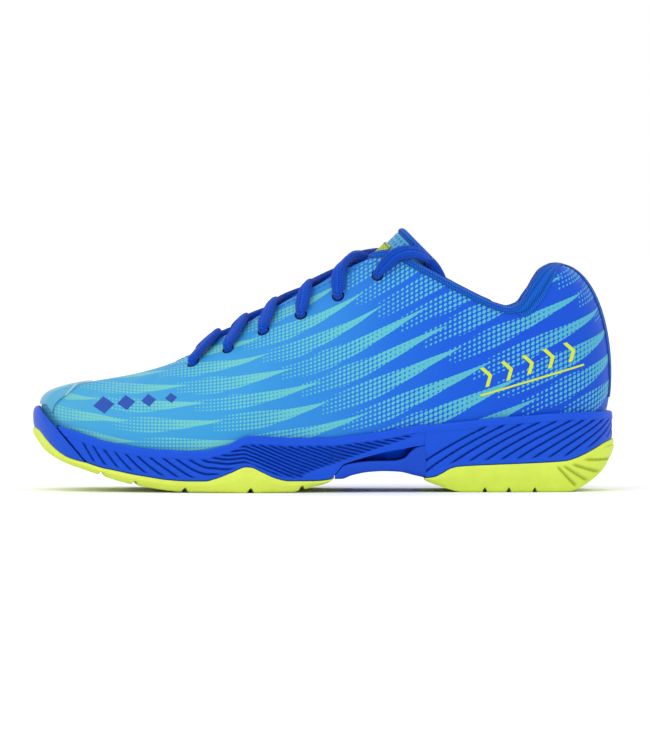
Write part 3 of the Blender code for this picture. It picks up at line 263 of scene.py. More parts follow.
def build_rays(step):
    """Stations, outline points, outward plan normals, spine points and sides of all rays, in
    order from the toe tip down the lateral side to the heel tip and back up the medial side."""
    turns = np.linspace(0, 90, round(58 / step) + 1)
    sine, cosine = np.sin(np.radians(turns)), np.cos(np.radians(turns))
    straight = np.arange(TOE_CENTRE_X + step, HEEL_CENTRE_X - step / 2, step)
    spine_y = (LATERAL_Y(straight) + MEDIAL_Y(straight)) / 2

    def arc(centre_x, out, side, radius):
        """Station, outline x and y, and spine x and y round the toe or the heel."""
        centre_y = (LATERAL_Y(centre_x) + MEDIAL_Y(centre_x)) / 2
        edge = [centre_x + out * radius * sine, centre_y + side * radius * cosine]
        spine = [np.full(len(turns), c) for c in (centre_x, centre_y)]
        return np.array([centre_x + out * ARC_RUN * turns / 90, *edge, *spine])

    halves = []
    for side, toe_r, edge in ((-1, TOE_R_LATERAL, LATERAL_Y), (1, TOE_R_MEDIAL, MEDIAL_Y)):
        toe = arc(TOE_CENTRE_X, -1, side, toe_r(turns))[:, ::-1]
        middle = np.array([straight, straight, edge(straight), straight, spine_y])
        halves.append(np.hstack([toe, middle, arc(HEEL_CENTRE_X, 1, side, HEEL_R(turns))]).T)
    lateral, medial = halves
    rays = np.vstack([lateral, medial[-2:0:-1]])
    outline = rays[:, 1:3]
    run = unit(np.roll(outline, -1, axis=0) - np.roll(outline, 1, axis=0))
    normal = np.stack([run[:, 1], -run[:, 0]], axis=1)
    side = np.where(np.arange(len(rays)) < len(lateral), -1, 1)
    return rays[:, 0], outline, normal, rays[:, 3:5], side


STATION, OUTLINE, NORMAL, SPINE, SIDE = build_rays(RAY_STEP)
COUNT = len(STATION)
RAY_X = OUTLINE[:, 0]


def by_side(lateral, medial, x):
    """A side-view table read at x, from the lateral or medial version by ray."""
    return np.where(SIDE < 0, lateral(x), medial(x))


def girth_run():
    """Distance of each ray along the outline, equal to x on the straight middle."""
    run = lengths_along(OUTLINE[: COUNT // 2 + 1])
    half = run + np.interp(0, STATION[: COUNT // 2 + 1], -run)
    return np.concatenate([half, half[-2:0:-1]])


OVER_ARCH = (STATION > 5.5) & (STATION < 50.5)
BAND = by_side(BAND_LATERAL, BAND_MEDIAL, RAY_X)
LIP = by_side(LIP_LATERAL, LIP_MEDIAL, RAY_X)
RUN = girth_run()


def inset(depth):
    """Plan points at this depth inside the outline."""
    return OUTLINE - NORMAL * np.broadcast_to(depth, (COUNT,))[:, None]


def core(share):
    """Plan points between the spine (0) and a ring well inside the outline (1)."""
    return mix(SPINE, inset(CORE_IN), share)


def ring(plan, z):
    """A ring of 3D points. z is a table read at each point's own x, or a height per ray."""
    height = z(plan[:, 0]) if callable(z) else np.broadcast_to(z, (COUNT,))
    return np.column_stack([plan, height])


def plus(table, amount):
    """A table raised by an amount."""
    return lambda x: table(x) + amount


def mix(a, b, share):
    """a at share 0, b at share 1."""
    return a + (b - a) * share


def smooth(x, low, high):
    """0 below low, 1 above high and an S between."""
    t = np.clip((np.asarray(x, float) - low) / (high - low), 0, 1)
    return t * t * (3 - 2 * t)


# ---- meshes


def grid_faces(shape, across_closed, stack_closed, keep=None):
    """Quads over a grid of points, and the two end caps of a closed stack of open rows."""
    index = np.arange(shape[0] * shape[1]).reshape(shape)
    below = index if stack_closed else index[:-1]
    above = np.roll(index, -1, axis=0) if stack_closed else index[1:]
    right = np.roll(below, -1, axis=1), np.roll(above, -1, axis=1)
    quads = np.stack([below, right[0], right[1], above], axis=-1)
    if not across_closed:
        quads = quads[:, :-1]
    faces = (quads[keep] if keep is not None else quads.reshape(-1, 4)).tolist()
    if stack_closed and not across_closed:
        faces.append(index[:, 0].tolist())
        faces.append(index[::-1, -1].tolist())
    return faces


def grid_piece(name, rows, look, across_closed=False, stack_closed=True, fields=None, faces=None):
    """A mesh object over rows of points in millimetres, with float attributes from fields."""
    rows = np.asarray(rows, float)
    mesh = bpy.data.meshes.new(name)
    faces = faces or grid_faces(rows.shape[:2], across_closed, stack_closed)
    mesh.from_pydata((rows.reshape(-1, 3) * MM).tolist(), [], faces)
    for field, values in (fields or {}).items():
        layer = mesh.attributes.new(field, "FLOAT", "POINT")
        spread = np.broadcast_to(values, rows.shape[:2])
        layer.data.foreach_set("value", spread.astype(np.float32).ravel())
    work = bmesh.new()
    work.from_mesh(mesh)
    bmesh.ops.remove_doubles(work, verts=work.verts, dist=0.004 * MM)
    bmesh.ops.recalc_face_normals(work, faces=work.faces)
    loose = [v for v in work.verts if not v.link_faces]
    bmesh.ops.delete(work, geom=loose, context="VERTS")
    work.to_mesh(mesh)
    work.free()
    mesh.shade_smooth()
    mesh.set_sharp_from_angle(angle=SHARP)
    obj = bpy.data.objects.new(name, mesh)
    bpy.context.scene.collection.objects.link(obj)
    mesh.materials.append(look)
    return obj


def cut_off(obj, point, normal):
    """Removes what lies on the normal's side of a plane and closes the cut."""
    work = bmesh.new()
    work.from_mesh(obj.data)
    geom = [*work.verts, *work.edges, *work.faces]
    plane = {"plane_co": np.array(point) * MM, "plane_no": normal}
    bmesh.ops.bisect_plane(work, geom=geom, dist=1e-7, clear_outer=True, **plane)
    bmesh.ops.holes_fill(work, edges=[e for e in work.edges if e.is_boundary], sides=0)
    bmesh.ops.recalc_face_normals(work, faces=work.faces)
    work.to_mesh(obj.data)
    work.free()
    obj.data.set_sharp_from_angle(angle=SHARP)


def finish_piece(obj, body, slot, *nodes):
    """Rides the piece on its body and hides the CAD nodes it stands for. Its slot is not used."""
    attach(obj, body)
    if nodes:
        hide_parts(*nodes)


# ---- materials


def linear(colour, shade=1.0):
    """Linear RGBA from a shade of an 8-bit sRGB colour, deepened for the bright studio."""
    share = np.array(colour) * shade / 255
    flat = np.where(share < 0.04045, share / 12.92, ((share + 0.055) / 1.055) ** 2.4)
    return (*(flat * DEEPEN), 1.0)


class Num:
    """A number in a material's node tree. Arithmetic on it adds Math nodes."""

    def __init__(self, look, socket):
        self.look, self.socket = look, socket

    def math(self, operation, *others):
        inputs = dict(enumerate((self, *others)))
        return Num(self.look, self.look.node("Math", inputs, operation=operation).outputs[0])

    def step(self, start, end):
        """0 below start and 1 above end, with a straight slope between them."""
        inputs = {"Value": self, "From Min": start, "From Max": end}
        return Num(self.look, self.look.node("MapRange", inputs).outputs[0])

    def within(self, half, soft=0.12):
        """1 closer to zero than half, and 0 beyond it."""
        return (self.abs() * -1 + half).step(0.0, soft)


def math_method(operation):
    return lambda number, *others: number.math(operation, *others)


for method, node_operation in {
    "__add__": "ADD", "__sub__": "SUBTRACT", "__mul__": "MULTIPLY", "__truediv__": "DIVIDE",
    "abs": "ABSOLUTE", "fract": "FRACT", "floor": "FLOOR", "round": "ROUND",
    "root": "SQRT", "sine": "SINE", "low": "MINIMUM", "high": "MAXIMUM",
}.items():
    setattr(Num, method, math_method(node_operation))


class Look:
    """A procedural Principled material with short calls for its nodes."""

    def __init__(self, name, roughness, **sockets):
        self.material = bpy.data.materials.new(name)
        self.material.use_nodes = True
        self.tree = self.material.node_tree
        self.shader = self.tree.nodes["Principled BSDF"]
        self.set("Roughness", roughness)
        for socket, value in sockets.items():
            self.set(socket.replace("_", " "), value)

    def feed(self, slot, value):
        if isinstance(value, Num):
            self.tree.links.new(value.socket, slot)
        elif isinstance(value, bpy.types.NodeSocket):
            self.tree.links.new(value, slot)
        else:
            slot.default_value = value

    def set(self, socket, value):
        self.feed(self.shader.inputs[socket], value)

    def node(self, kind, inputs, **settings):
        node = self.tree.nodes.new("ShaderNode" + kind)
        for setting, value in settings.items():
            setattr(node, setting, value)
        for socket, value in inputs.items():
            self.feed(node.inputs[socket], value)
        return node

    def field(self, name):
        return Num(self, self.node("Attribute", {}, attribute_name=name).outputs["Fac"])

    def position(self):
        return self.node("TexCoord", {}).outputs["Object"]

    def place(self):
        """Object-space x, y and z in millimetres."""
        split = self.node("SeparateXYZ", {0: self.position()})
        return [Num(self, out) * 1000.0 for out in split.outputs]

    def noise(self, per_mm, detail, stretch=(1, 1, 1)):
        scale = [per_mm * 1000 * s for s in stretch]
        scaled = self.node("VectorMath", {0: self.position(), 1: scale}, operation="MULTIPLY")
        inputs = {"Vector": scaled.outputs[0], "Scale": 1.0, "Detail": detail}
        return Num(self, self.node("TexNoise", inputs).outputs[0])

    def cells(self, per_mm):
        inputs = {"Vector": self.position(), "Scale": per_mm * 1000}
        return Num(self, self.node("TexVoronoi", inputs).outputs["Distance"])

    def random(self, a, b):
        join = self.node("CombineXYZ", {0: a, 1: b})
        return Num(self, self.node("TexWhiteNoise", {"Vector": join.outputs[0]}).outputs["Value"])

    def blend(self, share, first, second):
        return self.node("Mix", {0: share, 6: first, 7: second}, data_type="RGBA").outputs[2]

    def ramp(self, value, stops):
        node = self.node("ValToRGB", {0: value})
        band = node.color_ramp
        while len(band.elements) < len(stops):
            band.elements.new(0.5)
        for element, (where, colour) in zip(band.elements, stops):
            element.position = where
            element.color = linear(colour)
        return node.outputs[0]

    def paint(self, colour):
        self.set("Base Color", colour)

    def relief(self, height, depth_mm):
        inputs = {"Strength": 1.0, "Distance": depth_mm * MM, "Height": height}
        self.set("Normal", self.node("Bump", inputs).outputs[0])


def moulded(name, colour, groove_shade, roughness, grain):
    """Moulded rubber or foam: fine pebbled skin, and darker in the cut lines as painted shade."""
    look = Look(name, roughness, Specular_IOR_Level=0.22)
    base = look.blend(look.noise(0.12, 4).step(0.35, 0.75), linear(colour), linear(colour, 0.97))
    # Painted shade: where the cut field is high, in cut lines and notches, the colour goes to the
    # darker shade colour.
    look.paint(look.blend(look.field("cut"), base, linear(groove_shade)))
    look.set("Roughness", look.noise(0.5, 2) * 0.16 + (roughness - 0.08))
    look.relief(look.noise(2.2, 3) + look.cells(1.4) * 0.6, grain)
    return look.material


def knitted(name, colour, light, pitch, course, depth):
    """Ribbed knit: rows of slanted stitches over the cloth_u and cloth_v lengths, with painted shade
    and highlight.
    """
    look = Look(name, 0.88, Sheen_Weight=0.1, Specular_IOR_Level=0.12)
    across, along = look.field("cloth_u") / pitch, look.field("cloth_v") / course
    leg = (across.fract() - 0.5).abs()
    stitch = (along + leg * 0.9).fract()
    rise = (stitch * math.pi).sine() * ((across.fract() * math.pi).sine() + 0.15)
    yarn = look.noise(3.0, 2)
    # Painted shade: the low parts between the stitches take a darker copy of the colour.
    base = look.blend(rise.step(0.05, 0.8), linear(colour, 0.62), linear(colour))
    # Painted highlight: the raised stitch tops take the light colour where the yarn noise is high.
    look.paint(look.blend(yarn.step(0.45, 0.8) * rise.low(1.0), base, linear(light)))
    look.relief(rise + yarn * 0.3, depth)
    return look.material


def plain_inner(name, colour, roughness, grain, per_mm):
    """Fibre board, foam or felt that lies inside the shoe."""
    look = Look(name, roughness, Specular_IOR_Level=0.2)
    fibre = look.noise(per_mm, 4, (1, 1, 2.5))
    look.paint(look.blend(fibre.step(0.3, 0.7), linear(colour, 0.86), linear(colour)))
    look.relief(fibre + look.cells(per_mm) * 0.5, grain)
    return look.material


# ---- sole

# Cut lines in the midsole's wall: the x grid they are summed over, their slant and pitch, the
# plain border above them and their half width
XS = np.linspace(-240, 240, 961)
FORE_ANGLE = through(
    (-150, 56), (-118, 52), (-108, 48), (-95, 40), (-80, 34), (-66, 31), (-55, 24), (-30, 21), (50, 20),
)
FORE_PITCH = through((-150, 5.2), (-110, 5.6), (-85, 6.6), (-66, 6.6), (-55, 4.8), (50, 4.8))
FORE_LINES = np.cumsum(0.5 / FORE_PITCH(XS))
FORE_BORDER, HEEL_BORDER = 4.0, 3.6
HEEL_PITCH, HEEL_PITCH_SQUARE = 7.4, 3.7
LINE_HALF = 0.62

# Tread: x of the flex grooves, the turning point, and the middle of the heel corner's fan
FLEX = (-112.0, -96.0, -72.0, -40.0, -14.0, 78.0, 90.0, 103.0)
PIVOT = (-62.0, 1.5)
FAN = (110.3, 21.4)


class Loft:
    """Rings of a closed sole piece, from the middle of its underside round to the middle of its
    top, with how deep in a cut line each of their points lies."""

    def __init__(self):
        self.rows, self.cuts = [], []

    def add(self, plan, z, cut=0.0):
        self.rows.append(ring(plan, z))
        # The cut share also sets the painted shade of the piece's cut lines.
        self.cuts.append(np.broadcast_to(cut, (COUNT,)))

    def piece(self, name, look):
        return grid_piece(name, self.rows, look, True, False, {"cut": np.array(self.cuts)})


def cut_profile(distance, half_width):
    """1 in the middle of a cut line, 0 at its edges."""
    return np.clip(1 - (distance / half_width) ** 2, 0, 1) ** 1.5


def behind_seam(x, z):
    """Signed distance behind the slanting seam of the toe guard."""
    (x0, z0), (x1, z1) = SEAM_PLANE
    span = math.hypot(x1 - x0, z1 - z0)
    return ((x - x0) * (z0 - z1) + (z - z0) * (x1 - x0)) / span


def side_lines(x, z):
    """Depth of the cut lines in the midsole's wall, and how much of a line each point is in."""
    below = LIP - FORE_BORDER - z
    angle = np.radians(FORE_ANGLE(RUN))
    start = RUN - below / np.tan(angle)
    phase = np.interp(start, XS, FORE_LINES)
    near = np.abs(phase % 1 - 0.5) * FORE_PITCH(start) * np.sin(angle)
    foot = np.where(RUN > -10.4, np.maximum(BAND + 1.2, 8.1 + 0.34 * (RUN + 10.4)), BAND + 1.2)
    fore = smooth(below, -0.2, 0.9) * smooth(z - foot, -0.4, 1.6) * smooth(RUN, 48, 42)
    fore = fore * smooth(behind_seam(x, z), 2.5, 3.5)
    fore_cut = cut_profile(near, LINE_HALF) * fore
    high = z - 15
    start = RUN - (1.45 * high + 0.018 * high * high)
    phase = (start - 47) / HEEL_PITCH
    near = np.abs(phase % 1 - 0.5) * HEEL_PITCH_SQUARE
    heel = smooth(start, 43, 47) * smooth(LIP - HEEL_BORDER - z, -0.2, 0.9)
    heel = heel * smooth(z - BAND, 1.6, 3.4)
    heel_cut = cut_profile(near, LINE_HALF) * heel
    tilt = 0.3 * heel * ((phase + 0.5) % 1) + 0.16 * fore * (1 - (phase + 0.5) % 1)
    step = 0.3 * smooth(LIP - FORE_BORDER + 0.4 - z, 0, 0.9)
    # The same share of a line is painted as shade in the midsole's look.
    cut = np.maximum(fore_cut, heel_cut)
    return step + tilt + 1.0 * cut, cut


def make_midsole(look):
    """The foam body: tray below, wall with cut lines, rolled lip and foot bed. It steps back
    behind the toe guard, and it bridges the arch over the shank."""
    bare = RAY_X < -136
    bed = BED_Z(inset(4.9)[:, 0])
    seam = np.where(OVER_ARCH, SLOT_TOP_Z(RAY_X), BAND + GAP)
    loft = Loft()

    def under(plan):
        return np.where(OVER_ARCH, SHANK_TOP_Z(plan[:, 0]) + 0.6, TRAY_Z(plan[:, 0]) + 0.5)

    def lip_row(depth, z, bare_depth, below_bed, cut=0.0):
        held_back = behind_seam(RAY_X, z) < 0.15
        depth = np.where(held_back, np.maximum(depth, BUMPER_IN + GAP), depth)
        plan = inset(np.where(bare, bare_depth, depth))
        loft.add(plan, np.where(bare, bed - below_bed, z), np.where(bare | held_back, 0, cut))

    deep = under(inset(9))
    for share in (0, 0.5, 1):
        loft.add(core(share), under(core(share)))
    loft.add(inset(9), deep)
    loft.add(inset(5), np.where(OVER_ARCH, mix(deep, seam, 0.8), under(inset(5)) + 0.3))
    lip_row(np.where(OVER_ARCH, 1.0, TRAY_IN + GAP), seam - 0.02, 4.3, 1.0)
    belly = through((0, 0.75), (0.2, 0.5), (0.62, 0.5), (1, 0.9))
    for share in np.linspace(0, 1, 52):
        z = mix(seam + 0.1, LIP - 1, share)
        depth, cut = side_lines(RAY_X, z)
        lip_row(belly(share) + depth, z, 4.34 + 0.12 * share, mix(0.9, 0.45, share), cut)
    for depth, drop in ((1.15, 0.45), (1.6, 0.1), (2.1, 0.0), (2.6, 0.2), (LIP_IN, 1.0)):
        lip_row(depth, LIP - drop, 4.5 + 0.06 * depth, 0.4 - 0.1 * depth)
    for plan in (inset(4.9), core(1), core(0.5), core(0)):
        loft.add(plan, BED_Z)
    finish_piece(loft.piece("midsole_body", look), "shoe", "midsole_foam_blue", "midsole")


def make_toe_guard(look):
    """The rubber cap round the toe, cut off along its slanting seam."""
    first = int(np.argmax(STATION > TOE_CENTRE_X))
    rays = [j % COUNT for j in range(first + 8, -first - 9, -1)]
    base, top = BAND + GAP, BUMPER_Z(RAY_X)
    wall = through((0, 0.5), (0.2, 0.1), (0.55, 0), (0.85, 0.4), (1, 1.4))
    rows = [ring(inset(wall(f)), mix(base, top, f))[rays] for f in np.linspace(0, 1, 26)]
    for depth, rise in ((2.2, 0.15), (3.1, -0.1)):
        rows.append(ring(inset(depth), top + rise)[rays])
    rows.append(ring(inset(BUMPER_IN), mix(base, top, 0.8))[rays])
    rows.append(ring(inset(BUMPER_IN), base)[rays])
    obj = grid_piece("toe_guard", rows, look, False, True, {"cut": 0.0})
    (x0, z0), (x1, z1) = SEAM_PLANE
    back = np.array([z0 - z1, 0, x1 - x0]) / math.hypot(x1 - x0, z1 - z0)
    cut_off(obj, np.array([x0, 0, z0]) - back * 0.15, back)
    finish_piece(obj, "shoe", "toe_guard_blue", "toe_bumper")


def tread(plan, depth_in):
    """Height of the tread's grooves over the sole's lowest surface: chevrons, with rings round
    the forefoot's turning point."""
    x, y = plan[:, 0], plan[:, 1]
    zigzag = np.abs((y + 60) % 22 - 11)
    chevron = np.abs(((x + 0.8 * zigzag) / 6.4) % 1 - 0.5) * 6.4 * 0.78
    reach = np.hypot(x - PIVOT[0], y - PIVOT[1])
    rings = np.abs((reach / 5.2) % 1 - 0.5) * 5.2
    lines = np.where(reach < 15.6, rings, chevron)
    rim = np.where(reach < 17.5, smooth(np.abs(reach - 16.6), 0.5, 0.9), 1)
    height = 1.3 * cut_profile(lines, 0.85) * smooth(depth_in, 6.5, 7.5) * rim
    height = np.maximum(height, 1.1 * cut_profile(depth_in - 5.2, 0.8))
    return np.maximum(height, flex_height(x, y))


def flex_height(x, y):
    """Height of the wide grooves that cross the tread and open at its sides."""
    height = np.zeros(len(x))
    for place in FLEX:
        wide = 1.7 if place < 0 else 1.1
        bow = 0.0016 * (y - 2) ** 2
        height = np.maximum(height, 2.3 * cut_profile(x - place - bow, wide))
    return height


def corner_lines(x, z, share):
    """Curved cut lines that fan out over the heel's rear corner."""
    spacing = 11.7
    reach = np.hypot(x - FAN[0], z - FAN[1])
    angle = np.degrees(np.arctan2(FAN[1] - z, x - FAN[0]))
    turn = (angle + 0.45 * (reach - 20) + 2) / spacing
    near = np.abs(turn % 1 - 0.5) * np.radians(spacing) * reach
    held = smooth(angle, -4, 0) * smooth(angle, 62, 56) * (x > FAN[0] + 1.7)
    held = held * smooth(share, 0.06, 0.2) * smooth(share, 0.9, 0.76)
    return cut_profile(near, 0.8) * held


def make_outsole(name, look, node, low, high):
    """A tread from x = low to high: grooved underside, outer wall and tray for the midsole."""
    outer = inset(3.2)
    loft = Loft()
    for s in np.linspace(0, 1, 50) ** 0.92:
        plan = mix(SPINE, outer, s)
        height = tread(plan, 3.2 + (1 - s) * np.linalg.norm(outer - SPINE, axis=1))
        # Painted shade: the tread's grooves take a share of the darker cut colour by their height.
        loft.add(plan, BOTTOM_Z(plan[:, 0]) + height, np.clip(height / 2.2, 0, 1) * 0.8)
    wall = through((0, 3.1), (0.06, 2.4), (0.32, 0.9), (0.66, 0), (0.9, 0.1), (1, 0.6))
    foot = BOTTOM_Z(inset(2.4)[:, 0])
    for share in np.linspace(0, 1, 26):
        depth = float(wall(share))
        z = mix(foot, BAND, share)
        notched = foot + flex_height(*inset(depth).T)
        line = corner_lines(RAY_X, z, share)
        # Painted shade: the heel corner's cut lines and the flex notches in the wall are coloured
        # darker.
        cut = np.maximum(line * 0.85, (z < notched) * 0.6)
        loft.add(inset(depth + 1.2 * line), np.minimum(np.maximum(z, notched), BAND), cut)
    for depth, drop in ((3.1, 0.1), (TRAY_IN, 0.5)):
        loft.add(inset(depth), BAND - drop)
    for plan in (inset(4.3), inset(9), core(1), core(0.5), core(0)):
        loft.add(plan, TRAY_Z)
    obj = loft.piece(name, look)
    if high < STATION_END:
        cut_off(obj, (high, 0, 0), (1, 0, 0))
    if low > -STATION_END:
        cut_off(obj, (low, 0, 0), (-1, 0, 0))
    finish_piece(obj, "shoe", "rubber_lime", node)


def make_arch_bridge(look):
    """The shank: a ribbed plastic bridge between the treads."""
    loft = Loft()
    for s in np.linspace(0, 1, 30):
        plan = mix(SPINE, inset(3), s)
        rib = cut_profile(np.abs((plan[:, 1] + 63) % 12 - 6), 1.6)
        # Painted shade: the grooves in the underside take half of the darker cut colour.
        loft.add(plan, SHANK_BOTTOM_Z(plan[:, 0]) + 0.9 * rib * (s < 0.93), rib * 0.5)
    wall = through((0, 2.4), (0.12, 0.8), (0.6, 0.5), (0.93, 0.8), (1, 2.0))
    for share in np.linspace(0.02, 1, 16):
        loft.add(inset(float(wall(share))), mix(SHANK_BOTTOM_Z(RAY_X), SHANK_TOP_Z(RAY_X), share))
    for plan in (inset(5), inset(9), core(1), core(0)):
        loft.add(plan, SHANK_TOP_Z)
    obj = loft.piece("arch_bridge", look)
    cut_off(obj, (SHANK_END, 0, 0), (1, 0, 0))
    cut_off(obj, (SHANK_START, 0, 0), (-1, 0, 0))
    finish_piece(obj, "shoe", "shank_plastic_blue", "arch_shank")


def make_sockliner(look):
    """The loose insole, with a soft raised rim."""
    low, high = INSOLE
    sides = ((10.6, low), (9.9, low + 1.2), (9.7, high + 0.6), (10.6, high + 0.8))
    rows = [ring(core(share), plus(BED_Z, low)) for share in (0, 1)]
    rows += [ring(inset(depth), plus(BED_Z, rise)) for depth, rise in sides]
    for s in np.linspace(1, 0, 26):
        rows.append(ring(mix(SPINE, inset(11.4), s), plus(BED_Z, high + 0.45 * s**6)))
    rows = np.array(rows)
    fields = {"cloth_u": rows[..., 1], "cloth_v": rows[..., 0]}
    obj = grid_piece("sockliner", rows, look, True, False, fields)
    finish_piece(obj, "sockliner", "sockliner_blue", "insole")


# ---- the upper's surface


def edge_points():
    """Where each ray ends, on the rim of the throat and collar."""
    points = np.zeros((COUNT, 3))
    for j, q in enumerate(STATION):
        a = math.radians(max(abs(q) - HEEL_CENTRE_X, 0) / ARC_RUN * 90)
        if q < TOE_CENTRE_X:
            centre, long, wide = THROAT_TOE
            x, half = centre - long * math.sin(a), wide * math.cos(a)
        elif q > HEEL_CENTRE_X:
            centre, long, wide = COLLAR_HEEL
            x, half = centre + long * math.sin(a), wide * math.cos(a) ** 0.8
        else:
            x = float(EDGE_X(q))
            half = float(EDGE_HALF(x))
        points[j] = (x, MIDLINE_Y(x) + SIDE[j] * half, EDGE_Z(x))
    return points


def upper_controls():
    """Foot, lip point and the three other Bezier points of every ray."""
    foot = ring(inset(5.4), plus(BED_Z, 0.6))
    guard = np.where(RAY_X < -131.5, BUMPER_Z(RAY_X), LIP)
    tuck = through((-145, 4.2), (-125, 4.2), (-112, 3.7), (145, 3.7))
    lip = ring(inset(tuck(STATION)), guard + 0.3)
    edge = edge_points()
    flat = np.column_stack([unit(lip[:, :2] - edge[:, :2]), np.zeros(COUNT)])
    up = np.array([0, 0, 1.0])
    first = lip + up * RISE(STATION)[:, None] + flat * LEAN(STATION)[:, None]
    second = edge + flat * REACH(STATION)[:, None] - up * DROP(STATION)[:, None]
    return foot, lip, first, second, edge


CONTROLS = upper_controls()


def between_rays(u):
    """The five control points at fractional ray numbers."""
    low = np.floor(u).astype(int)
    share = (u - low)[:, None]
    return [c[low % COUNT] * (1 - share) + c[(low + 1) % COUNT] * share for c in CONTROLS]


def surface(u, t):
    """Points of the upper's outer surface. t is 0 at the foot, TUCK at the lip, 1 at the edge."""
    foot, a, b, c, d = between_rays(u)
    s = np.clip((t - TUCK) / (1 - TUCK), 0, 1)[:, None]
    curve = a * (1 - s) ** 3 + 3 * b * s * (1 - s) ** 2 + 3 * c * s**2 * (1 - s) + d * s**3
    low = np.clip(t / TUCK, 0, 1)[:, None]
    return np.where(t[:, None] < TUCK, foot + (a - foot) * low, curve)


def frames(u, t):
    """Surface points, outward normals and the unit direction towards the edge."""
    step = 0.012
    up = surface(u, np.minimum(t + step, 1)) - surface(u, np.maximum(t - step, 0))
    along = surface(u + 1, t) - surface(u - 1, t)
    return surface(u, t), unit(np.cross(along, up)), unit(up)


def t_at_distance(rays, distance):
    """The t on each ray that lies this far below the top edge. The distance may be by ray."""
    found = []
    samples = np.linspace(1, TUCK, 240)
    for j, below in zip(rays, np.broadcast_to(distance, len(rays))):
        path = surface(np.full(len(samples), float(j)), samples)
        found.append(np.interp(below, lengths_along(path), samples))
    return np.array(found)


def t_where(rays, lowest, test):
    """The first t on each ray, from lowest to 1, whose surface point passes the test."""
    found = []
    samples = np.linspace(lowest, 1, 300)
    for j in rays:
        path = surface(np.full(len(samples), float(j)), samples)
        passed = np.nonzero(test(j, path))[0]
        found.append(samples[passed[0]] if len(passed) else 1.0)
    return np.array(found)


def rays_between(first, last):
    """Lateral ray numbers whose stations lie from first to last."""
    top = COUNT // 2 + 1
    return [j for j in range(top) if first - 1e-6 <= STATION[j] <= last + 1e-6]


def mirror_ray(j):
    """The medial ray with the same station."""
    return (COUNT - j) % COUNT


def around_toe(last):
    """Rays from the lateral station back round the toe to the same medial station."""
    lateral = rays_between(-STATION_END, last)
    return lateral[::-1] + [mirror_ray(j) for j in lateral[1:]]


def around_heel(first):
    """Rays from the lateral station round the heel to the same medial station."""
    lateral = rays_between(first, STATION_END)
    return lateral + [mirror_ray(j) for j in lateral[-2::-1]]


def find_on_side(x, z, side):
    """The ray number and t where the upper's surface passes a side-view position. It looks on
    a grid of places and then on finer grids round the best of them."""
    low, high = (0.0, COUNT / 2) if side < 0 else (COUNT / 2, float(COUNT))
    t_low, t_high = 0.3, 1.0
    for _ in range(5):
        us, ts = np.meshgrid(np.linspace(low, high, 60), np.linspace(t_low, t_high, 60))
        where = surface(us.ravel(), ts.ravel())
        nearest = int(np.argmin((where[:, 0] - x) ** 2 + (where[:, 2] - z) ** 2))
        u, t = us.ravel()[nearest], ts.ravel()[nearest]
        du, dt = (high - low) / 20, (t_high - t_low) / 20
        low, high, t_low, t_high = u - du, u + du, max(t - dt, 0), min(t + dt, 1)
    return u, t


# ---- the lace's route


def hole_frames():
    """Position, normal, direction to the edge and edge point of each hole, by side."""
    made = {}
    for side in (-1, 1):
        for i, (x, z) in enumerate(HOLES):
            u, t = find_on_side(x, z, side)
            here, normal, _ = frames(np.array([u]), np.array([t]))
            edge, edge_normal, _ = frames(np.array([u]), np.array([1.0]))
            up = edge[0] - here[0]
            up -= normal[0] * up.dot(normal[0])
            made[side, i] = (here[0], normal[0], unit(up), edge[0], edge_normal[0])
    return made


HOLE = hole_frames()


def strand(i, side, over):
    """Centre-line points of the lace from hole i on one side to hole i + 1 on the other."""
    here, normal, up, edge, edge_normal = HOLE[side, i]
    there, far_normal, far_up, far_edge, far_edge_normal = HOLE[-side, i + 1]
    centre, _, lift = tongue_frame((here[0] + there[0]) / 2)
    height = 6.6 if over else 2.9
    across = np.array([0, side, 0.0])
    points = [
        (here - normal * 1.2, 0.66),
        (here + normal * 1.4 + up * 0.3, 0.66),
        (here + normal * 2.3 + up * 3.6, 1),
        (edge + edge_normal * 3.2 - up * 0.8, 1),
    ]
    if i == 4:
        points.append((edge + np.array([4.5, -2.0 * side, 6.5]), 1))
        points.append((edge + np.array([10.5, -7.5 * side, 6.0]), 1))
    points += [
        (centre + lift * (height - 0.4) + across * 4.5 - np.array([1.6, 0, 1.2]), 1),
        (centre + lift * (height - 0.9) - across * 4.5 + np.array([1.6, 0, 0.6]), 1),
        (far_edge - far_edge_normal * 4.4 + far_up * 1.0, 1),
        (there - far_normal * 4.5 + far_up * 3.8, 1),
        (there - far_normal * 3.6 + far_up * 0.3, 0.66),
    ]
    return points


def tail(side):
    """The loose end from the last hole over the rim and down inside the collar."""
    here, normal, *_ = HOLE[side, 5]
    out = np.array([0, side, 0.0])
    return [
        (here - normal * 1.2, 0.66),
        (here + normal * 1.4 + np.array([0.6, 0, 0.4]), 0.66),
        (here + normal * 2.6 + np.array([5, 0, 4.6]), 1),
        (np.array([36, -1.5, 117.4]) + out * 29.4, 1),
        (np.array([43, -1.5, 119.0]) + out * 27.4, 1),
        (np.array([50, -1.6, 116.6]) + out * 24.6, 1),
        (np.array([55.5, -1.6, 110.5]) + out * 23.4, 0.95),
        (np.array([59.5, -1.6, 102.0]) + out * 23.0, 0.9),
        (np.array([62, -1.6, 93.0]) + out * 22.8, 0.6),
    ]


def lace_route():
    """Every centre-line point from the medial tail to the lateral tail, with its width share."""
    half = {}
    for start in (-1, 1):
        side = start
        points = []
        for i in range(5):
            points += strand(i, side, over=(start < 0) == (i % 2 == 0))
            side = -side
        half[start] = points + tail(side)
    bar_l, bar_m = HOLE[-1, 0], HOLE[1, 0]
    centre, _, lift = tongue_frame(-64.5)
    bar = [
        (bar_l[0] - bar_l[1] * 4.0 + bar_l[2] * 1.5, 0.8),
        (centre + lift * 2.7, 0.9),
        (bar_m[0] - bar_m[1] * 4.0 + bar_m[2] * 1.5, 0.8),
    ]
    return half[-1][::-1] + bar + half[1]


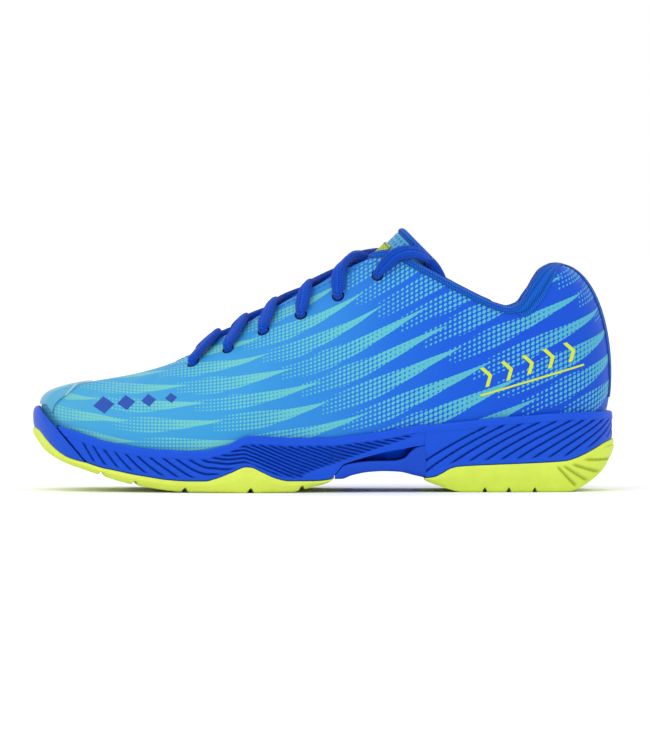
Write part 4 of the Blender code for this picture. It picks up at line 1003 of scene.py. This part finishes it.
def spline(points, per_span):
    """A centripetal Catmull-Rom curve through the points, with the width shares carried."""
    places = np.array([np.append(p, w) for p, w in points])
    places = np.vstack([2 * places[0] - places[1], places, 2 * places[-1] - places[-2]])
    made = []
    for i in range(1, len(places) - 2):
        span = places[i - 1 : i + 3]
        hops = np.linalg.norm(np.diff(span[:, :3], axis=0), axis=1)
        knots = np.concatenate([[0], np.cumsum(np.maximum(hops, 1e-6) ** 0.5)])
        for t in np.linspace(knots[1], knots[2], per_span, endpoint=False):
            level = span
            for ends in (((0, 1), (1, 2), (2, 3)), ((0, 2), (1, 3)), ((1, 2),)):
                shares = [(t - knots[a]) / (knots[b] - knots[a]) for a, b in ends]
                level = [mix(*pair) for pair in zip(level[:-1], level[1:], shares)]
            made.append(level[0])
    return np.array([*made, places[-2]])


def lace_path(per_span):
    """Centre-line points of the lace, their width shares, and unit directions along and across
    it. It lies on the slope of the throat, and its tails lie against the collar."""
    points = lace_route()
    places = spline(points, per_span)
    path, share = places[:, :3], places[:, 3]
    slope, tail_flat = (0.72, 0, 0.69), (0.72, 0, -0.69)
    last = len(points) - 1
    hints = {0: tail_flat, 6: tail_flat, 8: slope}
    hints.update({last - 8: slope, last - 6: tail_flat, last: tail_flat})
    keys = np.array(list(hints)) * per_span
    index = np.arange(len(path))
    wide = np.column_stack([np.interp(index, keys, c) for c in zip(*hints.values())])
    tangent = unit(np.gradient(path, axis=0))

    def squared(direction):
        return direction - tangent * (direction * tangent).sum(1)[:, None]

    wide = squared(wide)
    for _ in range(2):
        wide = squared((np.roll(wide, 1, axis=0) + 2 * wide + np.roll(wide, -1, axis=0)) / 4)
    return path, share, tangent, unit(wide)


# ---- the printed skin

# Darts of the print: row spacing, length along the flow, step back by row, start and half
# width, how far each reaches over the next, and the spacing of their dots
ROW, PERIOD, STAGGER, PHASE, HALF = 10.4, 50.0, 9.0, 0.1, 4.9
REACH_OVER = 1.18
DOT = 1.8

# Ground and dart colours from toe to heel, and the marks' blue and lime
GROUND = (
    (0, (82, 180, 222)), (0.12, (66, 173, 227)), (0.35, (54, 163, 230)), (0.52, (42, 142, 233)),
    (0.62, (22, 114, 234)), (0.72, (6, 97, 232)), (0.85, (0, 84, 226)), (1, (0, 84, 216)),
)
MINT = ((0, (120, 208, 206)), (0.3, (118, 214, 206)), (0.6, (104, 212, 214)), (1, (86, 192, 214)))
DIAMOND_BLUE, CHEVRON_LIME = (36, 84, 184), (222, 245, 50)

# The marks are on the lateral side only and fade in between these y
OUTSIDE_Y = (-4.0, -8.0)


def dart(f, off, chance):
    """Dot radius inside one dart, 0 outside it. It swells from its faint blunt end, f = 0, and
    closes to a solid point at f = 1."""
    width = (f * 1.0 + 0.68).low(1.0).low((f * -1 + 1) / 0.7) * (chance * 0.9 + HALF - 0.5)
    inside = ((width - (off - (f * f * 1.8 - 0.9)).abs()) / 0.3).high(0.0).low(1.0)
    return ((f * 2.0 + 0.2).low(1.0) * 0.25 + f.step(0.45, 0.9) * 0.34 + 0.15) * inside


def dart_mask(look):
    """1 on the dots of the print's darts. Each row of darts is stepped back along the flow, and
    a dart's point reaches over the blunt end of the next one."""
    u, w = look.field("print_u"), look.field("print_w")
    row = (w / ROW).round()
    off = w - row * ROW
    along = (u + row * STAGGER) / PERIOD + (PHASE + 20)
    lot, here = along.floor(), along.fract()
    near, far = look.random(row, lot), look.random(row, lot - 1)
    first = dart(here / (near * 0.2 + REACH_OVER - 0.1), off, look.random(lot + 7.0, row))
    second = dart((here + 1) / (far * 0.2 + REACH_OVER - 0.1), off, look.random(lot + 6.0, row))
    radius = first.high(second)
    dots = ((radius - from_middle(u / DOT, w / DOT)) * 9.0 + 0.5).high(0.0).low(1.0)
    return dots * (radius * 40.0).low(1.0)


def from_middle(across, along):
    """Distance from the middle of the unit cell that a place lies in."""
    a, b = across.fract() - 0.5, along.fract() - 0.5
    return (a * a + b * b).root()


def turned(x, z, centre, degrees):
    """Lengths along and across a mark that is turned from level."""
    c, s = math.cos(math.radians(degrees)), math.sin(math.radians(degrees))
    right, up = x - centre[0], z - centre[1]
    return right * c + up * s, up * c - right * s


def chevron_mark(x, z):
    """Five chevrons in a row over a thin underline."""
    half_run, spacing = 27.0, 10.8
    a, b = turned(x, z, (104.0, 55.4), 16.5)
    line = b.within(0.55) * a.within(half_run)
    rise = b - 8.2
    cell = ((a + half_run) / spacing).fract() * spacing - spacing / 2
    arm = ((cell + rise.abs() * 0.62 - 2.2).abs() * -1 / 1.18 + 0.95).step(0.0, 0.15)
    return line.high(arm * rise.within(5.0) * a.within(half_run))


def diamond_mark(x, z):
    """Four diamonds in a row, each a little smaller than the last."""
    marks = []
    for k in range(4):
        a, b = turned(x, z, (-109 + 11.2 * k, 43 + 1.2 * k), 6)
        size = 1 - 0.14 * k
        spread = a.abs() / (5.4 * size) + b.abs() / (4.4 * size)
        marks.append((spread * -1 + 1.0).step(0.0, 0.04))
    return functools.reduce(Num.high, marks)


def printed_skin():
    """Film printed with dotted darts on a ramp of blues, with two raised marks outside."""
    look = Look("skin_print", 0.5, Specular_IOR_Level=0.2)
    x, y, z = look.place()
    share = x.step(-STATION_END, STATION_END)
    dots = dart_mask(look)
    colour = look.blend(dots * 0.9, look.ramp(share, GROUND), look.ramp(share, MINT))
    outside = y.step(*OUTSIDE_Y)
    diamonds, chevrons = diamond_mark(x, z) * outside, chevron_mark(x, z) * outside
    colour = look.blend(diamonds, colour, linear(DIAMOND_BLUE))
    look.paint(look.blend(chevrons, colour, linear(CHEVRON_LIME)))
    weave = look.noise(1.9, 3)
    look.set("Roughness", weave * 0.16 + 0.44)
    raised = chevrons.high(diamonds) * 1.2
    look.relief(dots * 0.45 + weave * 0.35 + raised + look.cells(1.1) * 0.3, 0.12)
    return look.material


def film_skin():
    """The glossier toe film, paler at its rim."""
    look = Look("toe_film_skin", 0.36, Specular_IOR_Level=0.3)
    x, y, z = look.place()
    mottle = look.noise(0.05, 3).step(0.3, 0.8)
    base = look.blend(mottle, linear((88, 177, 217)), linear((96, 184, 222)))
    diamonds = diamond_mark(x, z) * y.step(*OUTSIDE_Y)
    base = look.blend(diamonds, base, linear(DIAMOND_BLUE))
    look.paint(look.blend(look.field("rim"), base, linear((170, 214, 230))))
    look.relief(look.noise(1.2, 3) + diamonds, 0.06)
    return look.material


def mesh_cloth(name, colour, hole, pitch=2.4):
    """Spacer mesh: staggered round openings between thick yarns, with painted shade in the openings."""
    look = Look(name, 0.82, Sheen_Weight=0.25, Specular_IOR_Level=0.2)
    across, along = look.field("cloth_u") / pitch, look.field("cloth_v") / pitch
    opening = from_middle(across + along.floor() * 0.5, along).step(0.34, 0.2)
    yarn = look.noise(2.6, 3)
    base = look.blend(yarn.step(0.35, 0.75), linear(colour, 0.9), linear(colour))
    # Painted shade: the openings take the darker hole colour, as shade inside them.
    look.paint(look.blend(opening, base, linear(hole)))
    look.relief(opening * -1.0 + yarn * 0.25, 0.5)
    return look.material


def clear_tip(name, colour):
    """Glossy plastic with crimp rings."""
    look = Look(name, 0.24, Specular_IOR_Level=0.5, Coat_Weight=0.5)
    crimp = (look.place()[2] * 2.1).sine() * 0.5
    cloudy = look.noise(0.3, 2).step(0.3, 0.7)
    look.paint(look.blend(cloudy, linear(colour), linear(colour, 0.9)))
    look.relief(crimp + look.noise(1.5, 2), 0.08)
    return look.material


def floor_look():
    """Pale studio paint."""
    pale, white = (0.955, 0.96, 0.965, 1), (0.975, 0.975, 0.98, 1)
    look = Look("floor_paint", 0.72, Specular_IOR_Level=0.15)
    look.paint(look.blend(look.noise(0.004, 2), pale, white))
    return look.material


def thread(name, colour):
    """Twisted sewing thread."""
    look = Look(name, 0.7, Sheen_Weight=0.2)
    twist = look.noise(2.2, 2, (3, 1, 1))
    look.paint(look.blend(twist, linear(colour, 0.75), linear(colour)))
    look.relief(twist, 0.1)
    return look.material


# ---- lace, tips and stitches


def stitches(name, lines, look, body, slot, pitch=2.9, length=2.1, radius=0.27):
    """Thread stitches in one piece: short rounded tubes laid along lines of points."""
    sides = 6
    shape = ((0, 0.25), (0.06, 0.75), (0.28, 1), (0.72, 1), (0.94, 0.75), (1, 0.25))
    places, sizes = np.array(shape).T
    turns = np.linspace(0, 2 * math.pi, sides + 1)[:-1, None]
    tube = grid_faces((len(shape), sides), True, False)
    tube += [list(range(sides)), list(range(len(shape) * sides - 1, (len(shape) - 1) * sides - 1, -1))]
    points, faces = [], []
    for line in lines:
        reach = lengths_along(line)
        for start in np.arange(0.6, reach[-1] - length - 0.3, pitch):
            spots = start + length * places
            middle = np.column_stack([np.interp(spots, reach, c) for c in line.T])
            run = unit(middle[-1] - middle[0])
            side = unit(np.cross(run, [0.31, 0.22, 0.92]))
            circle = (side * np.cos(turns) + np.cross(run, side) * np.sin(turns)) * radius
            faces += [[len(points) + corner for corner in face] for face in tube]
            for spot, size in zip(middle, sizes):
                points += list(spot + circle * size)
    piece = grid_piece(name, np.array(points)[None], look, faces=faces)
    finish_piece(piece, body, slot)


def make_lace(look):
    """The flat lace, as an oval with full edges swept along its route."""
    path, share, tangent, wide = lace_path(9)
    thick = np.cross(tangent, wide)
    turns = np.linspace(0, 2 * math.pi, 19)[:-1]
    rows = []
    for c, s in zip(np.cos(turns), np.sin(turns)):
        side, height = math.copysign(abs(c) ** 0.62, c), math.copysign(abs(s) ** 0.85, s)
        rows.append(path + wide * (side * LACE_W / 2 * share)[:, None] + thick * (height * LACE_T / 2))
    fields = {"cloth_u": (turns / math.pi * 8.4)[:, None], "cloth_v": lengths_along(path)}
    piece = grid_piece("lace_cord", rows, look, False, True, fields)
    finish_piece(piece, "shoe", "lace_royal", "lace")


def make_tip(name, side, look, node):
    """A crimped plastic tip on the straight end of the lace."""
    start = np.array([62.2, -1.6 + side * 22.8, 92.2])
    end = np.array([65.4, -1.6 + side * 22.4, 79.0])
    axis = unit(end - start)
    across = unit(np.cross(axis, [0, 1, 0]))
    turns = np.linspace(0, 2 * math.pi, 29)[:-1]
    circle = np.outer(np.cos(turns), across) + np.outer(np.sin(turns), np.cross(axis, across))
    profile = [(0.001, 0), (0.9, 0), (1.25, 0.015), (1.4, 0.06)]
    profile += [(1.45 - 0.07 * math.cos(s * 40), s) for s in np.linspace(0.1, 0.86, 30)]
    profile += [(1.35, 0.92), (1.1, 0.97), (0.8, 0.995), (0.001, 1)]
    rows = [mix(start, end, place) + circle * radius for radius, place in profile]
    piece = grid_piece(name, rows, look, True, False)
    finish_piece(piece, "shoe", "aglet_plastic", node)


def make_seams(look):
    """The visible sewing: round the throat and up the heel tape."""
    throat = around_toe(26)[::2]
    line = sheet_row(throat, t_at_distance(throat, 2.4), -0.06)
    stitches("throat_stitches", [line], look, "shoe", "upper_skin_blue")
    edges = tape_rays()
    lines = []
    for j in (edges[1], edges[-2]):
        here, normal, _ = frames(np.full(90, float(j)), np.linspace(0.24, 0.93, 90))
        lines.append(here + normal * 0.62)
    stitches("tape_stitches", lines, look, "shoe", "tape_blue")


# ---- upper pieces


def layer_rows(rays, rows_t, outer, inner):
    """Rows of a closed layer between two depths, up its outside and back down its inside. A
    depth may be a function of t."""
    sides = ((rows_t, outer), (rows_t[::-1], inner))
    return np.array(
        [sheet_row(rays, t, face(t) if callable(face) else face) for ts, face in sides for t in ts]
    )


def sheet_row(rays, t, depth):
    """One row of a layer: the surface at t, moved in by depth."""
    u = np.array(rays, float)
    t = np.broadcast_to(np.asarray(t, float), u.shape)
    here, normal, _ = frames(u, t)
    return here - normal * np.broadcast_to(depth, u.shape)[:, None]


def cloth_lengths(rows, rays):
    """Lengths along the shoe and up the rays, in millimetres, for weaves."""
    hop = np.linalg.norm(np.diff(rows, axis=0), axis=2)
    up = np.vstack([np.zeros(rows.shape[1]), np.cumsum(hop, axis=0)])
    return {"cloth_u": np.broadcast_to(RUN[np.array(rays)], rows.shape[:2]), "cloth_v": up}


# The print by x: its scale, its slope in degrees and the height that it is measured from
PRINT_SCALE = through((-145, 1.0), (-90, 1.0), (-20, 1.08), (60, 1.33), (145, 1.36))
PRINT_SLOPE = through((-145, 0), (-90, 0), (-60, 2), (-20, 6), (20, 12), (60, 18), (100, 21), (145, 22))
PRINT_FOOT = through((-145, 34), (-118, 29), (-90, 25), (-40, 24.5), (10, 28), (60, 34), (145, 39.6))
PRINT_U = np.cumsum(0.5 / PRINT_SCALE(XS))
PRINT_RISE = np.cumsum(0.5 * np.tan(np.radians(PRINT_SLOPE(XS))))


def print_lengths(rows, rays):
    """Lengths along and across the print's flow. It runs level at the toe and climbs and grows
    towards the heel, and it is measured round the girth so that it isn't drawn out on top."""
    x, y, z = rows[..., 0], rows[..., 1], rows[..., 2]
    side = SIDE[np.array(rays)]

    def end_y(centre, long, wide):
        """Y of the sole's rounded toe or heel end at x."""
        inside = np.clip(1 - ((x - centre[0]) / long) ** 2, 0, 1)
        return centre[1] + side * wide * np.sqrt(inside)

    edge = np.where(side < 0, LATERAL_Y(x), MEDIAL_Y(x))
    edge = np.where(x < TOE_CENTRE_X, end_y((TOE_CENTRE_X, 3.7), 37, 40.2), edge)
    edge = np.where(x > HEEL_CENTRE_X, end_y((HEEL_CENTRE_X, -1.4), 37.4, 36), edge)
    girth = z - PRINT_FOOT(x) + 0.25 * np.clip(side * (edge - y), 0, None)
    along = x + np.where(STATION > HEEL_CENTRE_X, RUN - RAY_X, 0)[np.array(rays)]
    flow = (girth - np.interp(along, XS, PRINT_RISE)) / PRINT_SCALE(along)
    return {"print_u": np.interp(along, XS, PRINT_U), "print_w": flow}


def punch_holes(rows, outer_count):
    """Faces of the shell's closed layer with round lace holes through it. The points round
    each hole are drawn onto its circle."""
    total, width = rows.shape[:2]
    gone = np.zeros((outer_count - 1, width), bool)
    middle = rows[: outer_count - 1] + rows[1:outer_count]
    middle = (middle + np.roll(middle, -1, axis=1)) / 4
    for here, normal, *_ in HOLE.values():
        offset = middle - here
        flat = offset - (offset @ normal)[..., None] * normal
        hit = (np.linalg.norm(flat, axis=2) < HOLE_R) & (np.linalg.norm(offset, axis=2) < 6)
        gone |= hit
        beside = np.pad(hit.astype(int), ((1, 1), (0, 0)))
        beside = beside[:-1] + beside[1:]
        beside += np.roll(beside, 1, axis=1)
        for k, j in np.argwhere((beside > 0) & (beside < 4)):
            for layer in (k, total - 1 - k):
                spot = rows[layer, j] - here
                tall = normal * spot.dot(normal)
                rows[layer, j] = here + tall + unit(spot - tall) * HOLE_R
    keep = np.ones((total, width), bool)
    keep[: outer_count - 1] = ~gone
    keep[outer_count : total - 1] = ~gone[::-1]
    faces = grid_faces((total, width), True, True, keep)
    number = np.arange(total * width).reshape(total, width)
    for k, j in np.argwhere(gone):
        n = (j + 1) % width
        for (ka, ja), (kb, jb), other in (
            ((k, j), (k, n), (k - 1, j)),
            ((k + 1, n), (k + 1, j), (k + 1, j)),
            ((k, n), (k + 1, n), (k, n)),
            ((k + 1, j), (k, j), (k, (j - 1) % width)),
        ):
            if not gone[other]:
                wall = (ka, ja), (kb, jb), (total - 1 - kb, jb), (total - 1 - ka, ja)
                faces.append([int(number[corner]) for corner in wall])
    return faces


def make_shell(look):
    """The printed shell of the upper, with its lace holes."""
    rays = list(range(0, COUNT, 2))
    up = np.concatenate([np.linspace(0, TUCK, 5)[:-1], np.linspace(TUCK, 1, 86)])
    rows = layer_rows(rays, up, 0, SHELL)
    fields = print_lengths(rows, rays)
    faces = punch_holes(rows, len(up))
    piece = grid_piece("upper_skin", rows, look, True, True, fields, faces)
    finish_piece(piece, "shoe", "upper_skin_blue", "upper_shell")


def make_toe_film(look):
    """The thin film over the toe box. Its rear edge is a shallow arc in plan."""
    lateral_end, medial_end = (TOE_CENTRE_X - ARC_RUN * turn / 90 for turn in (54, 43))
    lateral = [j for j in range(COUNT // 2) if STATION[j] <= lateral_end]
    medial = [j for j in range(COUNT // 2, COUNT) if STATION[j] <= medial_end]
    rays = (lateral[::-1] + medial[::-1])[::2]

    def over_lip(j, path):
        return path[:, 2] >= CONTROLS[1][j, 2] + 0.9

    def past_edge(_, path):
        return path[:, 0] > FILM_EDGE_X - FILM_EDGE_BOW * (path[:, 1] - 8) ** 2

    start = t_where(rays, 0, over_lip)
    stop = np.maximum(t_where(rays, TUCK, past_edge), start + 0.03)
    rows = layer_rows(rays, [mix(start, stop, s) for s in np.linspace(0, 1, 40)], *TOE_FILM)
    rim = np.zeros(rows.shape[:2])
    rim[37:43] = 1
    piece = grid_piece("toe_film", rows, look, False, True, {"rim": rim})
    finish_piece(piece, "shoe", "toe_film_cyan", "toe_overlay")


def tape_rays():
    """Rays under the woven tape up the back of the heel."""
    return [j for j in around_heel(HEEL_CENTRE_X) if STATION[j] > 140.3]


def make_back_tape(look):
    """The woven tape up the back of the heel."""
    rays = tape_rays()[::2]
    rows = layer_rows(rays, np.linspace(0.2, 0.985, 60), *BACK_TAPE)
    piece = grid_piece("heel_tape", rows, look, False, True, cloth_lengths(rows, rays))
    finish_piece(piece, "shoe", "tape_blue", "back_tape")


def collar_total(rays, t):
    """Full thickness of the collar's layers at t."""
    top = COLLAR_DEPTH(STATION[np.array(rays) % COUNT])
    share = smooth(t, 0.46, 0.66)
    return 3.9 + (np.maximum(top, 3.4) - 3.9) * share


def soft_waves(rays, t, size):
    """Shallow creases in the lining, in millimetres."""
    run = RUN[np.array(rays)]
    return size * (np.sin(run / 7.1 + 9 * t) * np.sin(run / 19.0 - 14 * t + 1) * smooth(t, 0.2, 0.5))


def make_linings(look, foam):
    """The vamp lining, the collar's lining sleeve and the foam inside the sleeve."""
    def rows_up(rays, table, count):
        """The t of each row from the foot to the table's distance below the top edge."""
        high = t_at_distance(rays, table(STATION[rays]))
        return [mix(0.05, high, share) for share in np.linspace(0, 1, count)]

    rays = around_toe(11)[::3]
    below_holes = through((-145, 19), (-108, 25), (-64, 22), (-30, 18.5), (12, 18.5))
    rows = layer_rows(rays, rows_up(rays, below_holes, 40), *VAMP_LINING)
    vamp = grid_piece("vamp_lining_cloth", rows, look, False, True, cloth_lengths(rows, rays))
    finish_piece(vamp, "shoe", "lining_knit_blue", "vamp_lining")

    sleeve_rays = around_heel(11.8)[::3]
    top_distance = through((11.8, 18.5), (28, 16.5), (37, 11), (44, 0.7), (145, 0.7))

    def face(t):
        return collar_total(sleeve_rays, t) + soft_waves(sleeve_rays, t, 0.25)

    up = rows_up(sleeve_rays, top_distance, 64)
    rows = layer_rows(sleeve_rays, up, lambda t: face(t) - LINING, face)
    lengths = cloth_lengths(rows, sleeve_rays)
    sleeve = grid_piece("collar_sleeve", rows, look, False, True, lengths)
    finish_piece(sleeve, "shoe", "lining_knit_blue", "collar_lining")

    rays = around_heel(44)[::3]
    up = np.linspace(0.48, 0.97, 24)
    rows = layer_rows(rays, up, 1.5, lambda t: collar_total(rays, t) - LINING - 0.9)
    pad = grid_piece("collar_foam", rows, foam, False, True)
    finish_piece(pad, "shoe", "collar_padding", "collar_padding")


def make_collar_piping(look):
    """The knit binding folded over the collar's edge. It is widest on the steep rear slope."""
    rays = around_heel(19)[::2]
    depth_table = through(
        (19, 2.4), (37, 2.6), (44, 4.4), (49.4, 5), (58, 6), (66, 7), (76, 8.3), (94, 9), (145, 9),
    )
    skirt = through(
        (19, 0.3), (92, 0.3), (97, 1.2), (101, 5.5), (105, 8.5), (111, 8.5), (118, 6), (126, 2.6),
        (133, 0.9), (145, 0.5),
    )
    depth, hang = depth_table(STATION[rays]), skirt(STATION[rays])
    here, normal, up = frames(np.array(rays, float), np.ones(len(rays)))
    rows = []
    for share, out in ((1, -0.1), (1, 0.5), (0.75, 0.7), (0.5, 0.75), (0.25, 0.75)):
        rows.append(sheet_row(rays, t_at_distance(rays, share * hang), -out))
    turns = np.linspace(0.05, 3.09, 17)
    fold = [(0.5 - 0.5 * math.cos(a), 0.62 + 0.46 * math.sin(a)) for a in turns]
    for side, height in [(0, 0.24), *fold, (1, 0.3)]:
        inward = -0.7 + side * (depth + 1.2)
        rows.append(here - normal * inward[:, None] + up * (3.2 * height))
    rows = np.array(rows)
    hop = np.linalg.norm(np.diff(rows, axis=0), axis=2).mean(1)
    across = np.concatenate([[0], np.cumsum(hop)])
    fields = {"cloth_u": across[:, None], "cloth_v": RUN[rays]}
    piece = grid_piece("collar_piping", rows, look, False, True, fields)
    finish_piece(piece, "shoe", "collar_knit_blue", "collar_binding")


# ---- tongue


def tongue_frame(x):
    """Centre point, tangent and normal of the tongue's centre line."""
    z = float(TONGUE_Z(x))
    rise = float(TONGUE_Z(x + 0.5) - TONGUE_Z(x - 0.5))
    run = 1.0 if TONGUE_START < x < TONGUE_END - 0.5 else 0.5
    tangent = np.array([run, 0, rise]) / math.hypot(run, rise)
    normal = np.array([-tangent[2], 0, tangent[0]])
    return np.array([x, float(MIDLINE_Y(x)), z]), tangent, normal


def tongue_row(x, depth, push=0.0, puff=0.0):
    """Points across the tongue at one station, at a depth under its outer face."""
    centre, tangent, normal = tongue_frame(x)
    radius = float(TONGUE_R(x))
    a = math.radians(float(TONGUE_A(x))) * np.linspace(-1, 1, 61)
    r = radius - depth + puff * np.ones(61)
    row = centre + np.outer(np.sin(a) * r, (0, 1, 0)) - np.outer(radius - r * np.cos(a), normal)
    return row + tangent * push


def make_tongue(mesh_look, knit_look, label_look, sewing):
    """The padded tongue, the knit trim along its top edge and the sewn label below the trim."""
    across = np.linspace(-1, 1, 61)
    thin_edges = np.clip(1.15 - np.abs(across) ** 3, 0, 1)[:, None]
    outer, inner = [], []
    for x in np.linspace(TONGUE_START, TONGUE_END, 96):
        channel = 0.5 * cut_profile(np.abs(across) - 0.62, 0.05) * float(smooth(x, -60, -50))
        bulge = 0.35 * np.cos(across * math.pi / 2) - channel
        outer.append(tongue_row(x, 0, puff=bulge - 0.3))
        inner.append(mix(tongue_row(x, 2.2), tongue_row(x, float(TONGUE_T(x))), thin_edges))
    rows = np.array(outer + inner[::-1])
    lengths = np.concatenate([np.linspace(0, 130, 96), np.linspace(130, 0, 96)])
    fields = {"cloth_u": rows[..., 1], "cloth_v": lengths[:, None]}
    body = grid_piece("tongue_body", rows, mesh_look, False, True, fields)
    finish_piece(body, "tongue", "tongue_mesh_cyan", "tongue")

    turns = np.linspace(0, 2 * math.pi, 25)[:-1]
    tube = [(2.5 - 3.1 * math.cos(a), 1.7 + 2.2 * math.sin(a)) for a in turns]
    rows = np.array([tongue_row(TONGUE_END, depth, push) for depth, push in tube])
    fields = {"cloth_u": np.linspace(0, 15, len(turns))[:, None], "cloth_v": rows[..., 1]}
    trim = grid_piece("tongue_trim", rows, knit_look, False, True, fields)
    finish_piece(trim, "tongue", "collar_knit_blue", "tongue_binding")

    middle = slice(20, 41)
    stations = np.linspace(24, 32, 14)
    rows = [tongue_row(x, -0.95)[middle] for x in stations]
    rows = np.array(rows + [tongue_row(x, -0.35)[middle] for x in stations[::-1]])
    fields = {"cloth_u": rows[..., 1], "cloth_v": rows[..., 0]}
    patch = grid_piece("tongue_patch", rows, label_look, False, True, fields)
    finish_piece(patch, "tongue", "label_lime", "tongue_label")
    seam = [tongue_row(31.2, -1.0)[middle]]
    stitches("label_stitches", seam, sewing, "tongue", "label_lime", 1.8, 1.2, 0.3)


# ---- build


def make_shoe():
    """Every finished piece, with its look."""
    # The second colour of each moulded look is the painted shade in its cut lines.
    make_midsole(moulded("foam_blue", (0, 86, 232), (0, 44, 146), 0.52, 0.07))
    make_toe_guard(moulded("guard_blue", (0, 86, 226), (0, 44, 146), 0.45, 0.06))
    rubber = moulded("rubber_lime", (236, 255, 98), (186, 212, 56), 0.55, 0.06)
    make_outsole("forefoot_tread", rubber, "outsole_forefoot", -200, FOREFOOT_END)
    rubber = moulded("rubber_lime_heel", (230, 252, 90), (180, 206, 54), 0.55, 0.06)
    make_outsole("heel_tread", rubber, "outsole_heel", HEEL_START, 200)
    make_arch_bridge(moulded("plastic_blue", (0, 78, 216), (0, 32, 116), 0.4, 0.03))
    make_sockliner(knitted("sock_cloth", (24, 74, 178), (52, 104, 204), 1.6, 1.2, 0.25))

    make_shell(printed_skin())
    make_toe_film(film_skin())
    make_back_tape(knitted("tape_weave", (28, 92, 214), (60, 124, 232), 1.1, 1.1, 0.2))
    lining = knitted("lining_knit", (22, 78, 196), (46, 104, 218), 1.9, 1.5, 0.3)
    make_linings(lining, plain_inner("collar_foam_grain", (206, 214, 224), 0.9, 0.3, 1.1))
    collar, trim = [
        knitted(name, (4, 108, 242), (40, 136, 250), 1.5, 1.2, 0.3)
        for name in ("collar_knit", "trim_knit")
    ]
    make_collar_piping(collar)

    sewing = thread("thread_blue", (44, 126, 226))
    tongue_cloth = mesh_cloth("tongue_mesh", (74, 184, 237), (36, 128, 196))
    lime = knitted("label_weave", (214, 238, 70), (228, 246, 104), 0.9, 0.8, 0.15)
    make_tongue(tongue_cloth, trim, lime, sewing)
    make_lace(knitted("lace_weave", (0, 90, 240), (16, 110, 250), 0.95, 0.8, 0.25))
    tip_look = clear_tip("tip_plastic", (18, 66, 178))
    make_tip("tip_lateral", -1, tip_look, "aglet_lateral")
    make_tip("tip_medial", 1, tip_look, "aglet_medial")
    make_seams(sewing)


def dress_hidden_nodes():
    """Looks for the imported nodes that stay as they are, all inside the shoe."""
    grey, gel = (168, 172, 178), (190, 196, 204)
    for node_name, slot, *look in (
        ("strobel_board", "board_white", "board_fibre", (176, 188, 206), 0.9, 0.2, 1.4),
        ("toe_puff", "stiffener_grey", "puff_fibre", grey, 0.85, 0.2, 1.0),
        ("heel_counter", "stiffener_grey", "counter_fibre", grey, 0.85, 0.2, 1.0),
        ("eyestay_backer", "tape_blue", "backer_weave", (40, 96, 200), 0.85, 0.2, 1.6),
        ("cushion_forefoot", "pod_gel_grey", "gel_forefoot", gel, 0.5, 0.1, 0.5),
        ("cushion_heel", "pod_gel_grey", "gel_heel", gel, 0.5, 0.1, 0.5),
    ):
        node = bpy.data.objects[node_name]
        node.data.materials.clear()
        node.data.materials.append(plain_inner(*look))


def lay_floor():
    """A wide pale floor under the sole."""
    spans = np.linspace(-9000, 9000, 37)
    rows = [[(x, y, -0.2) for x in spans] for y in spans]
    grid_piece("studio_floor", rows, floor_look(), False, False)


def soft_sun(name, source, strength, spread):
    """A wide soft light from a direction."""
    data = bpy.data.lights.new(name, "SUN")
    data.energy, data.angle = strength, math.radians(spread)
    light = bpy.data.objects.new(name, data)
    bpy.context.scene.collection.objects.link(light)
    light.rotation_euler = Vector(source).to_track_quat("Z", "Y").to_euler()


def make_studio():
    """An even white room with two soft suns, and the camera."""
    scene = bpy.context.scene
    world = bpy.data.worlds.new("studio")
    world.use_nodes = True
    ambient = world.node_tree.nodes["Background"]
    ambient.inputs["Color"].default_value = (1, 1, 1, 1)
    ambient.inputs["Strength"].default_value = 1.0
    scene.world = world
    soft_sun("key_above", (-0.35, -0.55, 1.0), 0.75, 50)
    soft_sun("fill_front", (0.6, -1.0, 0.35), 0.25, 60)
    scene.view_settings.view_transform = "Standard"
    data = bpy.data.cameras.new("photo_view")
    data.lens, data.sensor_width = CAMERA_LENS, 36
    data.clip_start, data.clip_end = 0.1, 40
    camera = bpy.data.objects.new("photo_view", data)
    scene.collection.objects.link(camera)
    aim, tilt = Vector(CAMERA_AIM), math.radians(CAMERA_TILT)
    camera.location = aim + Vector((0, -math.cos(tilt), math.sin(tilt))) * CAMERA_FAR
    camera.rotation_euler = (aim - camera.location).to_track_quat("-Z", "Y").to_euler()
    scene.camera = camera


make_shoe()
dress_hidden_nodes()
lay_floor()
make_studio()
